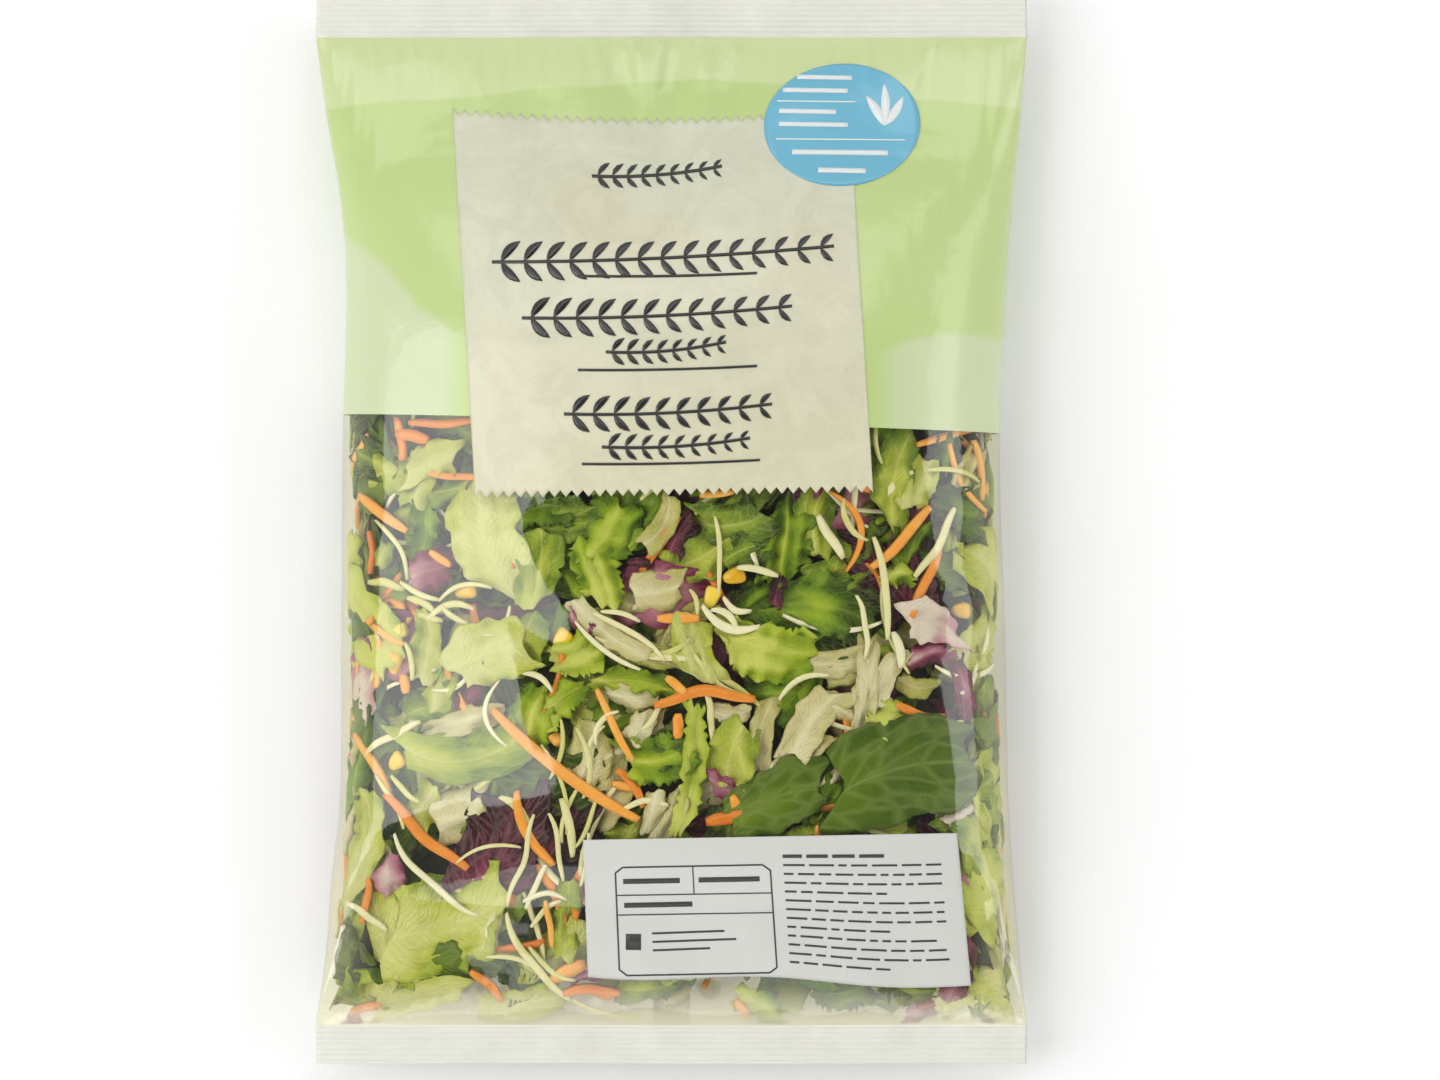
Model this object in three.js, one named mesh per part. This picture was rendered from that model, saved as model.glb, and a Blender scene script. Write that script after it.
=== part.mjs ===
// A sealed pillow bag of mixed salad leaves, lying on its back with the front up.
// The bag is one closed solid: film and contents together, out to the film's surface.
// Millimetres. +X across the bag, +Y towards the top seal, +Z up from the table.
// The origin is under the middle of the bag, on the table.

import * as THREE from "three";

// The bag laid flat, before it is filled.
const flatWidth = 235;
const bagLength = 353;

// The two crimped seals: film welded flat, with ribs that run across the bag.
const sealHeight = 13;
const sealThickness = 0.8;
const ribCount = 7;
const ribDepth = 0.32;

// The filled bag at rest: its seals float at sealLevel, above a flat underside.
const sealLevel = 22;
const sealDroop = 5;
const droopReach = 40;
const fullestThickness = 59;
const lowerThickness = 53;
const fillsFrom = 110;
const fillsTo = 230;

// How far from a seal the bag reaches its full thickness, and how fast it swells.
const topReach = 107;
const bottomReach = 85;
const underReach = 60;
const swellPower = 0.75;
const underDepth = 24;

// Roundness across the bag: 2 is an ellipse, more is boxier.
const frontRoundness = 2.15;
const backRoundness = 2.6;

// How far the filled bag's side edges draw in from the flat width, by distance from the bottom edge.
const leftEdge = [
  [13, 0],
  [35, 3.3],
  [61, 5.4],
  [88, 8.2],
  [140, 8.6],
  [203, 9.0],
  [259, 10.2],
  [286, 8.3],
  [312, 4.0],
  [340, 0],
];
const rightEdge = [
  [13, 0],
  [35, 2.4],
  [61, 4.5],
  [88, 6.3],
  [140, 7.3],
  [203, 9.1],
  [259, 6.9],
  [286, 5.0],
  [312, 2.4],
  [340, 0],
];

// Gathers that run into the bag from each seal: [where across, half width, depth, lean].
const topGathers = [
  [-88, 9, 2.2, 0.25],
  [-52, 8, 1.7, 0.12],
  [-21, 7, 3.4, 0.3],
  [1, 5, 4.2, -0.1],
  [24, 8, 2.6, -0.25],
  [61, 10, 1.6, -0.1],
  [93, 9, 2.0, -0.3],
];
const bottomGathers = [
  [-92, 9, 2.4, 0.3],
  [-60, 11, 2.0, 0.2],
  [-24, 9, 1.6, 0.1],
  [14, 10, 2.2, -0.1],
  [47, 8, 1.8, 0.15],
  [84, 9, 2.8, -0.25],
];
const gatherPeak = 13;

// Broad bumps where the leaves press on the film: [wave across, wave along, phase, height].
const bumps = [
  [71, 58, 0.4, 0.8],
  [43, 49, 2.1, 0.6],
  [97, 33, 4.0, 0.5],
  [37, 88, 5.2, 0.4],
];

// The welded back seam, folded flat down the middle of the back.
const seamHalfWidth = 6;
const seamHeight = 0.7;
const seamEdge = 0.35;

// The white price label on the front, low and to the right: its corners and its card.
const labelCorners = {
  topLeft: [-29.1, -102.1],
  topRight: [94.3, -99.8],
  bottomLeft: [-27.5, -146.4],
  bottomRight: [98.6, -150.3],
};
const labelThickness = 0.25;
const labelGap = 0.4;

// How finely the solids are divided.
const columns = 44;
const bodyRows = 34;
const ribRows = 2 * ribCount;
const labelColumns = 26;
const labelRows = 11;

const clamp01 = (value) => Math.min(1, Math.max(0, value));
const ease = (value) => {
  const t = clamp01(value);
  return t * t * (3 - 2 * t);
};
const mix = (a, b, share) => a + (b - a) * share;
const rise = (distance, reach) => Math.sin((Math.PI / 2) * clamp01(distance / reach));

// A smooth curve through the points of an edge table, flat beyond its ends.
function alongEdge(table, s) {
  if (s <= table[0][0]) return table[0][1];
  const last = table.length - 1;
  if (s >= table[last][0]) return table[last][1];
  const i = table.findIndex((point) => s < point[0]) - 1;
  const slope = (k) => {
    const before = table[Math.max(0, k - 1)];
    const after = table[Math.min(last, k + 1)];
    return (after[1] - before[1]) / (after[0] - before[0]);
  };
  const span = table[i + 1][0] - table[i][0];
  const t = (s - table[i][0]) / span;
  const [a, b] = [table[i][1], table[i + 1][1]];
  const [p, q] = [slope(i) * span, slope(i + 1) * span];
  return a + t * (p + t * (3 * (b - a) - 2 * p - q + t * (p + q - 2 * (b - a))));
}

const sideX = (s, side) =>
  side < 0
    ? -flatWidth / 2 + alongEdge(leftEdge, s)
    : flatWidth / 2 - alongEdge(rightEdge, s);

// Distance into the filled part from the nearer seal; 0 on a seal.
const fromBottom = (s) => Math.max(0, s - sealHeight);
const fromTop = (s) => Math.max(0, bagLength - sealHeight - s);

// The middle surface on which both sheets of film meet: level in the body, drooping and
// gently wavy towards the seals, and corrugated on them.
function middle(x, s) {
  const end = Math.min(s, bagLength - s);
  const droop = sealDroop * (1 - clamp01(end / droopReach)) ** 2;
  const wave = 1.1 * Math.sin(x / 21 + (s < bagLength / 2 ? 0.6 : 2.4)) * Math.exp(-end / 28);
  return sealLevel - droop + wave;
}

function ribs(s) {
  const onSeal = Math.min(s, bagLength - s);
  if (onSeal >= sealHeight) return 0;
  return ribDepth * Math.cos((Math.PI * onSeal * ribRows) / sealHeight);
}

// How deep the gathers press the film in at (x, s). They start at the seal and fade out.
function gathers(x, s) {
  let depth = 0;
  for (const [table, distance] of [
    [topGathers, fromTop(s)],
    [bottomGathers, fromBottom(s)],
  ]) {
    const along = (distance / gatherPeak) * Math.exp(1 - distance / gatherPeak);
    for (const [across, half, deep, lean] of table) {
      const off = (x - across - lean * distance) / (half * (1 + distance / 60));
      depth += deep * along * Math.exp(-off * off);
    }
  }
  return depth;
}

function pressed(x, s) {
  let height = 0;
  for (const [across, along, phase, tall] of bumps)
    height += tall * Math.sin((2 * Math.PI * x) / across + phase) *
      Math.sin((2 * Math.PI * s) / along + 2 * phase);
  return height;
}

// Thickness of the filled bag along its middle line.
function fullness(s) {
  const swell = (rise(fromTop(s), topReach) * rise(fromBottom(s), bottomReach)) ** swellPower;
  return swell * mix(lowerThickness, fullestThickness, ease((s - fillsFrom) / (fillsTo - fillsFrom)));
}

function underside(s) {
  return underDepth * (rise(fromTop(s), underReach) * rise(fromBottom(s), underReach)) ** swellPower;
}

// Share of the full height at u, from -1 on the left edge to 1 on the right.
const arch = (u, roundness) => (1 - Math.abs(u) ** roundness) ** (1 / roundness);
const sealArch = (u) => arch(u, 10);

function frontZ(x, s) {
  const [left, right] = [sideX(s, -1), sideX(s, 1)];
  const u = Math.min(1, Math.max(-1, (2 * (x - left)) / (right - left) - 1));
  const crown = fullness(s) - Math.min(sealLevel, underside(s));
  const body = crown * arch(u, frontRoundness);
  const share = ease(body / 12);
  const relief = pressed(x, s) * share - gathers(x, s) * Math.min(1, body / 9) * sealArch(u);
  return middle(x, s) + ribs(s) + Math.max(0, body + relief) + (sealThickness / 2) * sealArch(u);
}

function backZ(x, s) {
  const [left, right] = [sideX(s, -1), sideX(s, 1)];
  const u = Math.min(1, Math.max(-1, (2 * (x - left)) / (right - left) - 1));
  const body = underside(s) * arch(u, backRoundness);
  const relief = 0.6 * gathers(-x, s) * Math.min(1, body / 9) * sealArch(u);
  const seam = seamHeight * (1 - ease((Math.abs(x) - seamHalfWidth) / seamEdge));
  const low = middle(x, s) + ribs(s) - Math.max(0, body - relief) - (sealThickness / 2) * sealArch(u);
  return Math.max(0, low - seam);
}

// Distances along the bag of its rows: evenly over the ribs, closer near the seals than between.
function rowPlaces() {
  const places = [];
  for (let i = 0; i <= ribRows; i++) places.push((sealHeight * i) / ribRows);
  const filled = bagLength - 2 * sealHeight;
  for (let i = 1; i < bodyRows; i++) {
    const w = i / bodyRows;
    places.push(sealHeight + filled * (w - 0.088 * Math.sin(2 * Math.PI * w)));
  }
  for (let i = ribRows; i >= 0; i--) places.push(bagLength - (sealHeight * i) / ribRows);
  return places;
}

// Shares across the bag, from -1 to 1, closer together where the sides turn under.
function columnShares() {
  const shares = [];
  for (let i = 0; i <= columns; i++) {
    const w = (2 * i) / columns - 1;
    shares.push(0.5 * (w + Math.sin((Math.PI * w) / 2)));
  }
  return shares;
}

// Moves the back's columns nearest the seam onto the two foot and two top lines of its sides.
function backX(shares, s) {
  const [left, right] = [sideX(s, -1), sideX(s, 1)];
  const xs = shares.map((u) => mix(left, right, (u + 1) / 2));
  for (const line of [-seamHalfWidth, seamHalfWidth]) {
    const outer = line + Math.sign(line) * seamEdge;
    const near = columns / 2 + Math.sign(line);
    xs[near] = line;
    xs[near + Math.sign(line)] = outer;
  }
  return xs;
}

// A closed mesh from rings of equal length, with a strip of faces across each open end.
function bagGeometry() {
  const shares = columnShares();
  const places = rowPlaces();
  const ring = 2 * columns;
  const positions = [];
  for (const s of places) {
    const [left, right] = [sideX(s, -1), sideX(s, 1)];
    const y = s - bagLength / 2;
    for (const u of shares) {
      const x = mix(left, right, (u + 1) / 2);
      positions.push(x, y, frontZ(x, s));
    }
    const xs = backX(shares, s);
    for (let i = columns - 1; i > 0; i--) positions.push(xs[i], y, backZ(xs[i], s));
  }
  const faces = [];
  const quad = (a, b, c, d) => faces.push(a, b, c, a, c, d);
  for (let row = 0; row + 1 < places.length; row++)
    for (let k = 0; k < ring; k++) {
      const here = row * ring;
      const next = (k + 1) % ring;
      quad(here + k, here + next, here + ring + next, here + ring + k);
    }
  const last = (places.length - 1) * ring;
  for (const [start, bottom] of [[0, true], [last, false]])
    for (let i = 0; i < columns; i++) {
      const front = [start + i, start + i + 1];
      const back = [start + ((ring - i) % ring), start + (ring - i - 1)];
      const [a, b, c, d] = [front[0], back[0], back[1], front[1]];
      const turned = bottom ? [a, b, c, d] : [a, d, c, b];
      if (i === 0) faces.push(turned[0], turned[bottom ? 2 : 1], turned[bottom ? 3 : 2]);
      else if (i === columns - 1) faces.push(...(bottom ? [a, b, c] : [a, c, b]));
      else quad(...turned);
    }
  const geometry = new THREE.BufferGeometry();
  geometry.setAttribute("position", new THREE.Float32BufferAttribute(positions, 3));
  geometry.setIndex(faces);
  geometry.computeVertexNormals();
  return geometry;
}

// The label as a thin card that follows the front of the bag.
function labelGeometry() {
  const geometry = new THREE.BoxGeometry(1, 1, 1, labelColumns, labelRows, 1);
  const place = geometry.getAttribute("position");
  const { topLeft, topRight, bottomLeft, bottomRight } = labelCorners;
  for (let i = 0; i < place.count; i++) {
    const p = place.getX(i) + 0.5;
    const q = place.getY(i) + 0.5;
    const x = mix(mix(bottomLeft[0], bottomRight[0], p), mix(topLeft[0], topRight[0], p), q);
    const y = mix(mix(bottomLeft[1], bottomRight[1], p), mix(topLeft[1], topRight[1], p), q);
    const lift = labelGap + (place.getZ(i) + 0.5) * labelThickness;
    place.setXYZ(i, x, y, frontZ(x, y + bagLength / 2) + lift);
  }
  geometry.computeVertexNormals();
  return geometry;
}

const film = new THREE.MeshStandardMaterial({ color: 0xc4cf8e, roughness: 0.25, metalness: 0 });
const card = new THREE.MeshStandardMaterial({ color: 0xe4e6e0, roughness: 0.4, metalness: 0 });

const bag = new THREE.Mesh(bagGeometry(), film);
bag.name = "bag";
const label = new THREE.Mesh(labelGeometry(), card);
label.name = "price_label";

const saladBag = new THREE.Group();
saladBag.add(bag, label);

export default saladBag;
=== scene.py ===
"""A sealed pillow bag of mixed salad leaves, lying on its back.

The film is a thin clear shell, printed pale green above. The salad inside it is made of
joined pieces of each kind: leaves, ribs, shreds, carrot strips and corn kernels.
Shapes are worked out in millimetres on the bag's skin and written to the meshes in metres.
"""

import math
import random
from collections import namedtuple

import bmesh
import bpy
import numpy as np
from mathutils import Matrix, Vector


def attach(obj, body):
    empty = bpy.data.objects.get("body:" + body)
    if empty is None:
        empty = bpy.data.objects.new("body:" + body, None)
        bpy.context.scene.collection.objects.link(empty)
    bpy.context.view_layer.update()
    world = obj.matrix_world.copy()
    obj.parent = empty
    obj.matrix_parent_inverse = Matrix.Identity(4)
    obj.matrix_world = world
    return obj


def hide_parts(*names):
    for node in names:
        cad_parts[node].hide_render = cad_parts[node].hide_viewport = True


bl_info = {
    "name": "Salad Bag",
    "version": (1, 0, 0),
    "blender": (4, 5, 0),
    "location": "View3D > Sidebar > Salad Bag",
    "description": "Builds a sealed pillow bag of mixed salad leaves",
    "category": "Object",
}

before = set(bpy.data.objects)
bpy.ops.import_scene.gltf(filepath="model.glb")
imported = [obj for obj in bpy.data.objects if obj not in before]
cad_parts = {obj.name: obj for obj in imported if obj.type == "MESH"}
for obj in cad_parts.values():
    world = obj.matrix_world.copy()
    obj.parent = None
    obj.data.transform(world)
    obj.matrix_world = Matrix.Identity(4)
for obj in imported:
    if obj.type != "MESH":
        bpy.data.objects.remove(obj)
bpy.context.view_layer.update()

MM = 0.001
MERGE_DISTANCE = 1e-6
ROOT = "root"

# The bag, as the solid has it, in millimetres. s is the distance from the bottom edge.
FLAT_WIDTH = 235
BAG_LENGTH = 353
SEAL_HEIGHT = 13
RIB_COUNT = 7
RIB_DEPTH = 0.32
SEAL_LEVEL = 22
SEAL_DROOP = 5
DROOP_REACH = 40
FULLEST_THICKNESS = 59
LOWER_THICKNESS = 53
FILLS_FROM = 110
FILLS_TO = 230
TOP_REACH = 107
BOTTOM_REACH = 85
UNDER_REACH = 60
SWELL_POWER = 0.75
UNDER_DEPTH = 24
FRONT_ROUNDNESS = 2.15
BACK_ROUNDNESS = 2.6
SEAL_ROUNDNESS = 10
GATHER_PEAK = 13
FLOOR_CLEARANCE = 0.35
SEAL_GAP = 0.8
SEAM_HALF_WIDTH = 6
SEAM_INSET = 1
SEAM_STAND_OFF = 0.25
SEAM_RIDGE = 0.05
SEAM_LOWEST = 0.05

# The seals' slow wave: its height, its length for each radian, how far in it fades, and where it starts
# at the bottom and at the top.
SEAL_WAVE = 1.1
WAVE_LENGTH = 21
WAVE_FADE = 28
WAVE_STARTS = 0.6, 2.4

# The distance over which a gather grows to twice its width, and the share of it that the back shows.
GATHER_SPREAD = 60
BACK_GATHERS = 0.6

# Heights of the filled body from which its bumps and its gathers have their full depth.
BUMPS_FULL_AT = 12
GATHERS_FULL_AT = 9

# How far the side edges draw in from the flat width: (s, inset).
LEFT_EDGE = ((13, 0), (35, 3.3), (61, 5.4), (88, 8.2), (140, 8.6), (203, 9.0), (259, 10.2),
             (286, 8.3), (312, 4.0), (340, 0))
RIGHT_EDGE = ((13, 0), (35, 2.4), (61, 4.5), (88, 6.3), (140, 7.3), (203, 9.1), (259, 6.9),
              (286, 5.0), (312, 2.4), (340, 0))

# Gathers that run in from the seals: (where across, half width, depth, lean).
TOP_GATHERS = ((-88, 9, 2.2, 0.25), (-52, 8, 1.7, 0.12), (-21, 7, 3.4, 0.3), (1, 5, 4.2, -0.1),
               (24, 8, 2.6, -0.25), (61, 10, 1.6, -0.1), (93, 9, 2.0, -0.3))
BOTTOM_GATHERS = ((-92, 9, 2.4, 0.3), (-60, 11, 2.0, 0.2), (-24, 9, 1.6, 0.1), (14, 10, 2.2, -0.1),
                  (47, 8, 1.8, 0.15), (84, 9, 2.8, -0.25))

# Bumps where leaves press on the film: (wave across, wave along, phase, height).
BUMPS = ((71, 58, 0.4, 0.2), (43, 49, 2.1, 0.1), (97, 33, 4.0, 0.08), (37, 88, 5.2, 0.08))

# Sharp folds pulled up by the top seal: (where across, lean, height).
TOP_FOLDS = ((-72, 0.5, 1.2), (-27, 0.35, 2.2), (-12, 0.1, 3.0), (-3, -0.15, 2.4), (11, -0.1, 2.8),
             (22, -0.4, 1.8), (66, -0.3, 1.1), (88, -0.5, 1.4))
FOLD_HALF_WIDTH = 1.5
FOLD_LENGTH = 13

# Heights of the creases beside the seals, and of those that slant, lean and lie level elsewhere.
SEAL_CREASES, SLANTED_CREASES, LEANING_CREASES, LEVEL_CREASES = 0.62, 0.16, 0.14, 0.12
# How far those beside the bottom and the top seal reach.
LOW_CREASE_REACH, HIGH_CREASE_REACH = 20, 24
# Heights of the narrow and the broad wrinkles on the seals.
NARROW_WRINKLES, BROAD_WRINKLES = 0.22, 0.18

# The photograph's frame: its size, the pixel at the bag's middle, and its scale at the seals.
PHOTO_WIDTH, PHOTO_HEIGHT = 1440, 1080
PHOTO_MIDDLE_X, PHOTO_MIDDLE_Y = 671.25, 530.5
MM_PER_PIXEL = 0.33
CAMERA_LENS = 100
SENSOR_WIDTH = 36
CAMERA_DISTANCE = PHOTO_WIDTH * MM_PER_PIXEL * CAMERA_LENS / SENSOR_WIDTH
CAMERA_X = (PHOTO_WIDTH / 2 - PHOTO_MIDDLE_X) * MM_PER_PIXEL
CAMERA_Y = (PHOTO_MIDDLE_Y - PHOTO_HEIGHT / 2) * MM_PER_PIXEL

# Film mesh: columns across the front and the back, rows between the seals.
FRONT_COLUMNS, BACK_COLUMNS = 180, 72
BODY_ROWS = 220
ROWS_PER_RIB = 4

# The green print ends on this line across the front, given by pixels at its ends.
PRINT_LOW_LEFT, PRINT_LOW_RIGHT = (343, 415), (1000, 434)
PRINT_TOP = BAG_LENGTH - SEAL_HEIGHT - 0.6

# Printed panel, round badge and label, by their pixels: top left, top right, bottom left, bottom right.
PANEL_CORNERS = ((453, 112), (850, 112), (475, 495), (873, 489))
PANEL_TOOTH_PITCH = 11.2
PANEL_TOOTH_DEPTH = 7.0
# Share of the panel's height that its teeth reach into, and how far its top edge sags, in pixels.
PANEL_EDGE = 0.04
PANEL_SAG = 9
BADGE_MIDDLE = (842, 125)
BADGE_HALF = (77, 62)
LABEL_CORNERS = ((583, 840), (957, 833), (588, 975), (971, 986))
LABEL_WAVE = 3.5

# How far each layer lies above the film, in millimetres.
PANEL_LIFT = 0.22
BADGE_LIFT = 0.34
INK_LIFT = 0.40
BADGE_INK_LIFT = 0.46
LABEL_LIFT = 0.55
LABEL_INK_LIFT = 0.64

# The least distance between the film and the salad.
SALAD_CLEARANCE = 0.7

# Share of the light that the film's two faces mirror, seen straight on.
FILM_MIRROR = 0.065

# Painted shade taken evenly off every print's colour, for the light that the gloss over it and the lamps,
# set bright for the salad inside, add to it.
PRINT_PAINTED_SHADE = (0.815, 0.815, 0.815, 1)


def ease(value):
    """A smooth step from 0 to 1."""
    t = np.clip(value, 0, 1)
    return t * t * (3 - 2 * t)


def swell(distance, reach):
    """A quarter sine from 0 at a seal to 1 at reach."""
    return np.sin(np.pi / 2 * np.clip(distance / reach, 0, 1))


def along_edge(table, s):
    """A smooth curve through the points of an edge table, flat beyond its ends."""
    at, inset = (np.array(column, float) for column in zip(*table))
    slope = np.empty_like(inset)
    slope[1:-1] = (inset[2:] - inset[:-2]) / (at[2:] - at[:-2])
    slope[0] = (inset[1] - inset[0]) / (at[1] - at[0])
    slope[-1] = (inset[-1] - inset[-2]) / (at[-1] - at[-2])
    s = np.clip(s, at[0], at[-1])
    i = np.clip(np.searchsorted(at, s, side="right") - 1, 0, len(at) - 2)
    span = at[i + 1] - at[i]
    t = (s - at[i]) / span
    rise = inset[i + 1] - inset[i]
    first, second = slope[i] * span, slope[i + 1] * span
    return inset[i] + t * (first + t * (3 * rise - 2 * first - second + t * (first + second - 2 * rise)))


def side_edges(s):
    """The left and right edges of the filled bag at s."""
    half = FLAT_WIDTH / 2
    return along_edge(LEFT_EDGE, s) - half, half - along_edge(RIGHT_EDGE, s)


def from_seals(s):
    """Distances into the filled part from the bottom and the top seal."""
    return np.maximum(0, s - SEAL_HEIGHT), np.maximum(0, BAG_LENGTH - SEAL_HEIGHT - s)


def middle_surface(x, s):
    """Where the two sheets of film meet: drooping and gently wavy at the seals, and ribbed on them."""
    end = np.minimum(s, BAG_LENGTH - s)
    droop = SEAL_DROOP * (1 - np.clip(end / DROOP_REACH, 0, 1)) ** 2
    phase = np.where(s < BAG_LENGTH / 2, *WAVE_STARTS)
    wave = SEAL_WAVE * np.sin(x / WAVE_LENGTH + phase) * np.exp(-end / WAVE_FADE)
    rib = RIB_DEPTH * np.cos(2 * np.pi * end * RIB_COUNT / SEAL_HEIGHT)
    return SEAL_LEVEL - droop + wave + np.where(end < SEAL_HEIGHT, rib, 0)


def gathers(x, s):
    """How deep the gathers press the film in. They start at a seal and fade out."""
    depth = 0
    for table, distance in zip((BOTTOM_GATHERS, TOP_GATHERS), from_seals(s)):
        along = distance / GATHER_PEAK * np.exp(1 - distance / GATHER_PEAK)
        for across, half, deep, lean in table:
            off = (x - across - lean * distance) / (half * (1 + distance / GATHER_SPREAD))
            depth = depth + deep * along * np.exp(-off * off)
    return depth


def pressed(x, s):
    """Broad low bumps from the leaves behind the film."""
    height = 0
    for across, along, phase, tall in BUMPS:
        wave = np.sin(2 * np.pi * x / across + phase) * np.sin(2 * np.pi * s / along + 2 * phase)
        height = height + tall * wave
    return height


def underside(s):
    """Depth of the back below the seals, along the middle line."""
    low, high = from_seals(s)
    return UNDER_DEPTH * (swell(high, UNDER_REACH) * swell(low, UNDER_REACH)) ** SWELL_POWER


def thickness(s):
    """Thickness of the bag along the middle line."""
    low, high = from_seals(s)
    full = (swell(high, TOP_REACH) * swell(low, BOTTOM_REACH)) ** SWELL_POWER
    fill = ease((s - FILLS_FROM) / (FILLS_TO - FILLS_FROM))
    return full * (LOWER_THICKNESS + (FULLEST_THICKNESS - LOWER_THICKNESS) * fill)


def arch(u, roundness):
    """Share of the full height at u, from -1 on the left edge to 1 on the right."""
    return (1 - np.abs(u) ** roundness) ** (1 / roundness)


def share_across(x, s):
    left, right = side_edges(s)
    return np.clip(2 * (x - left) / (right - left) - 1, -1, 1)


def front_height(x, s):
    u = share_across(x, s)
    body = (thickness(s) - np.minimum(SEAL_LEVEL, underside(s))) * arch(u, FRONT_ROUNDNESS)
    relief = pressed(x, s) * ease(body / BUMPS_FULL_AT)
    relief = relief - gathers(x, s) * np.minimum(1, body / GATHERS_FULL_AT) * arch(u, SEAL_ROUNDNESS)
    seal = SEAL_GAP / 2 * arch(u, SEAL_ROUNDNESS)
    return middle_surface(x, s) + np.maximum(0, body + relief) + seal


def back_height(x, s):
    u = share_across(x, s)
    body = underside(s) * arch(u, BACK_ROUNDNESS)
    relief = BACK_GATHERS * gathers(-x, s) * np.minimum(1, body / GATHERS_FULL_AT) * arch(u, SEAL_ROUNDNESS)
    seal = SEAL_GAP / 2 * arch(u, SEAL_ROUNDNESS)
    low = middle_surface(x, s) - np.maximum(0, body - relief) - seal
    return np.maximum(FLOOR_CLEARANCE, low)


def crease(p):
    """A soft ridge at each whole number, 0 to 1 high."""
    return 1 - np.sqrt(np.sin(np.pi * p) ** 2 + 0.015)


def patch(x, s, across, along, phase):
    """Slow patches, 0 to 1, where creases show."""
    wave = np.sin(x / across + phase) * np.sin(s / along + 1.7 * phase)
    return ease(0.5 + 0.9 * wave)


def crinkles(x, s):
    """Fine creases of the film, all standing outwards. They are strongest beside the seals."""
    low, high = from_seals(s)
    near = np.exp(-low / LOW_CREASE_REACH) * ease(low / 3)
    near = near + np.exp(-high / HIGH_CREASE_REACH) * ease(high / 3)
    upright = crease(x / 7.1 + 0.35 * np.sin(s / 23 + x / 40)) + 0.6 * crease(x / 4.3 - s / 55)
    slanted = crease((x + 0.45 * s) / 27 + 0.3 * np.sin(s / 29)) * patch(x, s, 31, 37, 0.4)
    leaning = crease((x - 0.7 * s) / 35 + 0.25 * np.sin(x / 24)) * patch(x, s, 43, 29, 2.3)
    level = crease((s + 0.2 * x) / 31 + 0.3 * np.sin(x / 33)) * patch(x, s, 39, 51, 4.1)
    beside = SEAL_CREASES * near * upright
    return beside + SLANTED_CREASES * slanted + LEANING_CREASES * leaning + LEVEL_CREASES * level


def pulled_folds(x, s):
    """Sharp folds that run down from the top seal and fade out."""
    _, high = from_seals(s)
    fade = ease(high / 1.5) * np.exp(-high / FOLD_LENGTH)
    height = 0
    for across, lean, tall in TOP_FOLDS:
        height = height + tall * np.exp(-np.abs(x - across - lean * high) / FOLD_HALF_WIDTH)
    return height * fade


def seal_wrinkles(x, s):
    """Small upright wrinkles on the welded seals, all standing outwards."""
    end = np.minimum(s, BAG_LENGTH - s)
    on_seal = ease(end / 2) * ease((SEAL_HEIGHT + 2 - end) / 3)
    narrow = crease(x / 5.3 + 0.4 * np.sin(s / 7 + x / 17)) * patch(x, s, 13, 60, 1.1)
    broad = BROAD_WRINKLES * crease(x / 11.7 + 0.02 * s) * patch(x, s, 23, 60, 3.0)
    return on_seal * (NARROW_WRINKLES * narrow + broad)


def film_front(x, s):
    """Height of the film's front, with its creases."""
    inside = ease(np.minimum(*from_seals(s)) / 4) * ease((1 - np.abs(share_across(x, s))) / 0.06)
    return front_height(x, s) + crinkles(x, s) * inside + pulled_folds(x, s) + seal_wrinkles(x, s)


def crowded(w):
    """Places from -1 to 1 that stand closer together towards both ends."""
    return 0.5 * (w + np.sin(np.pi / 2 * w))


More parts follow.
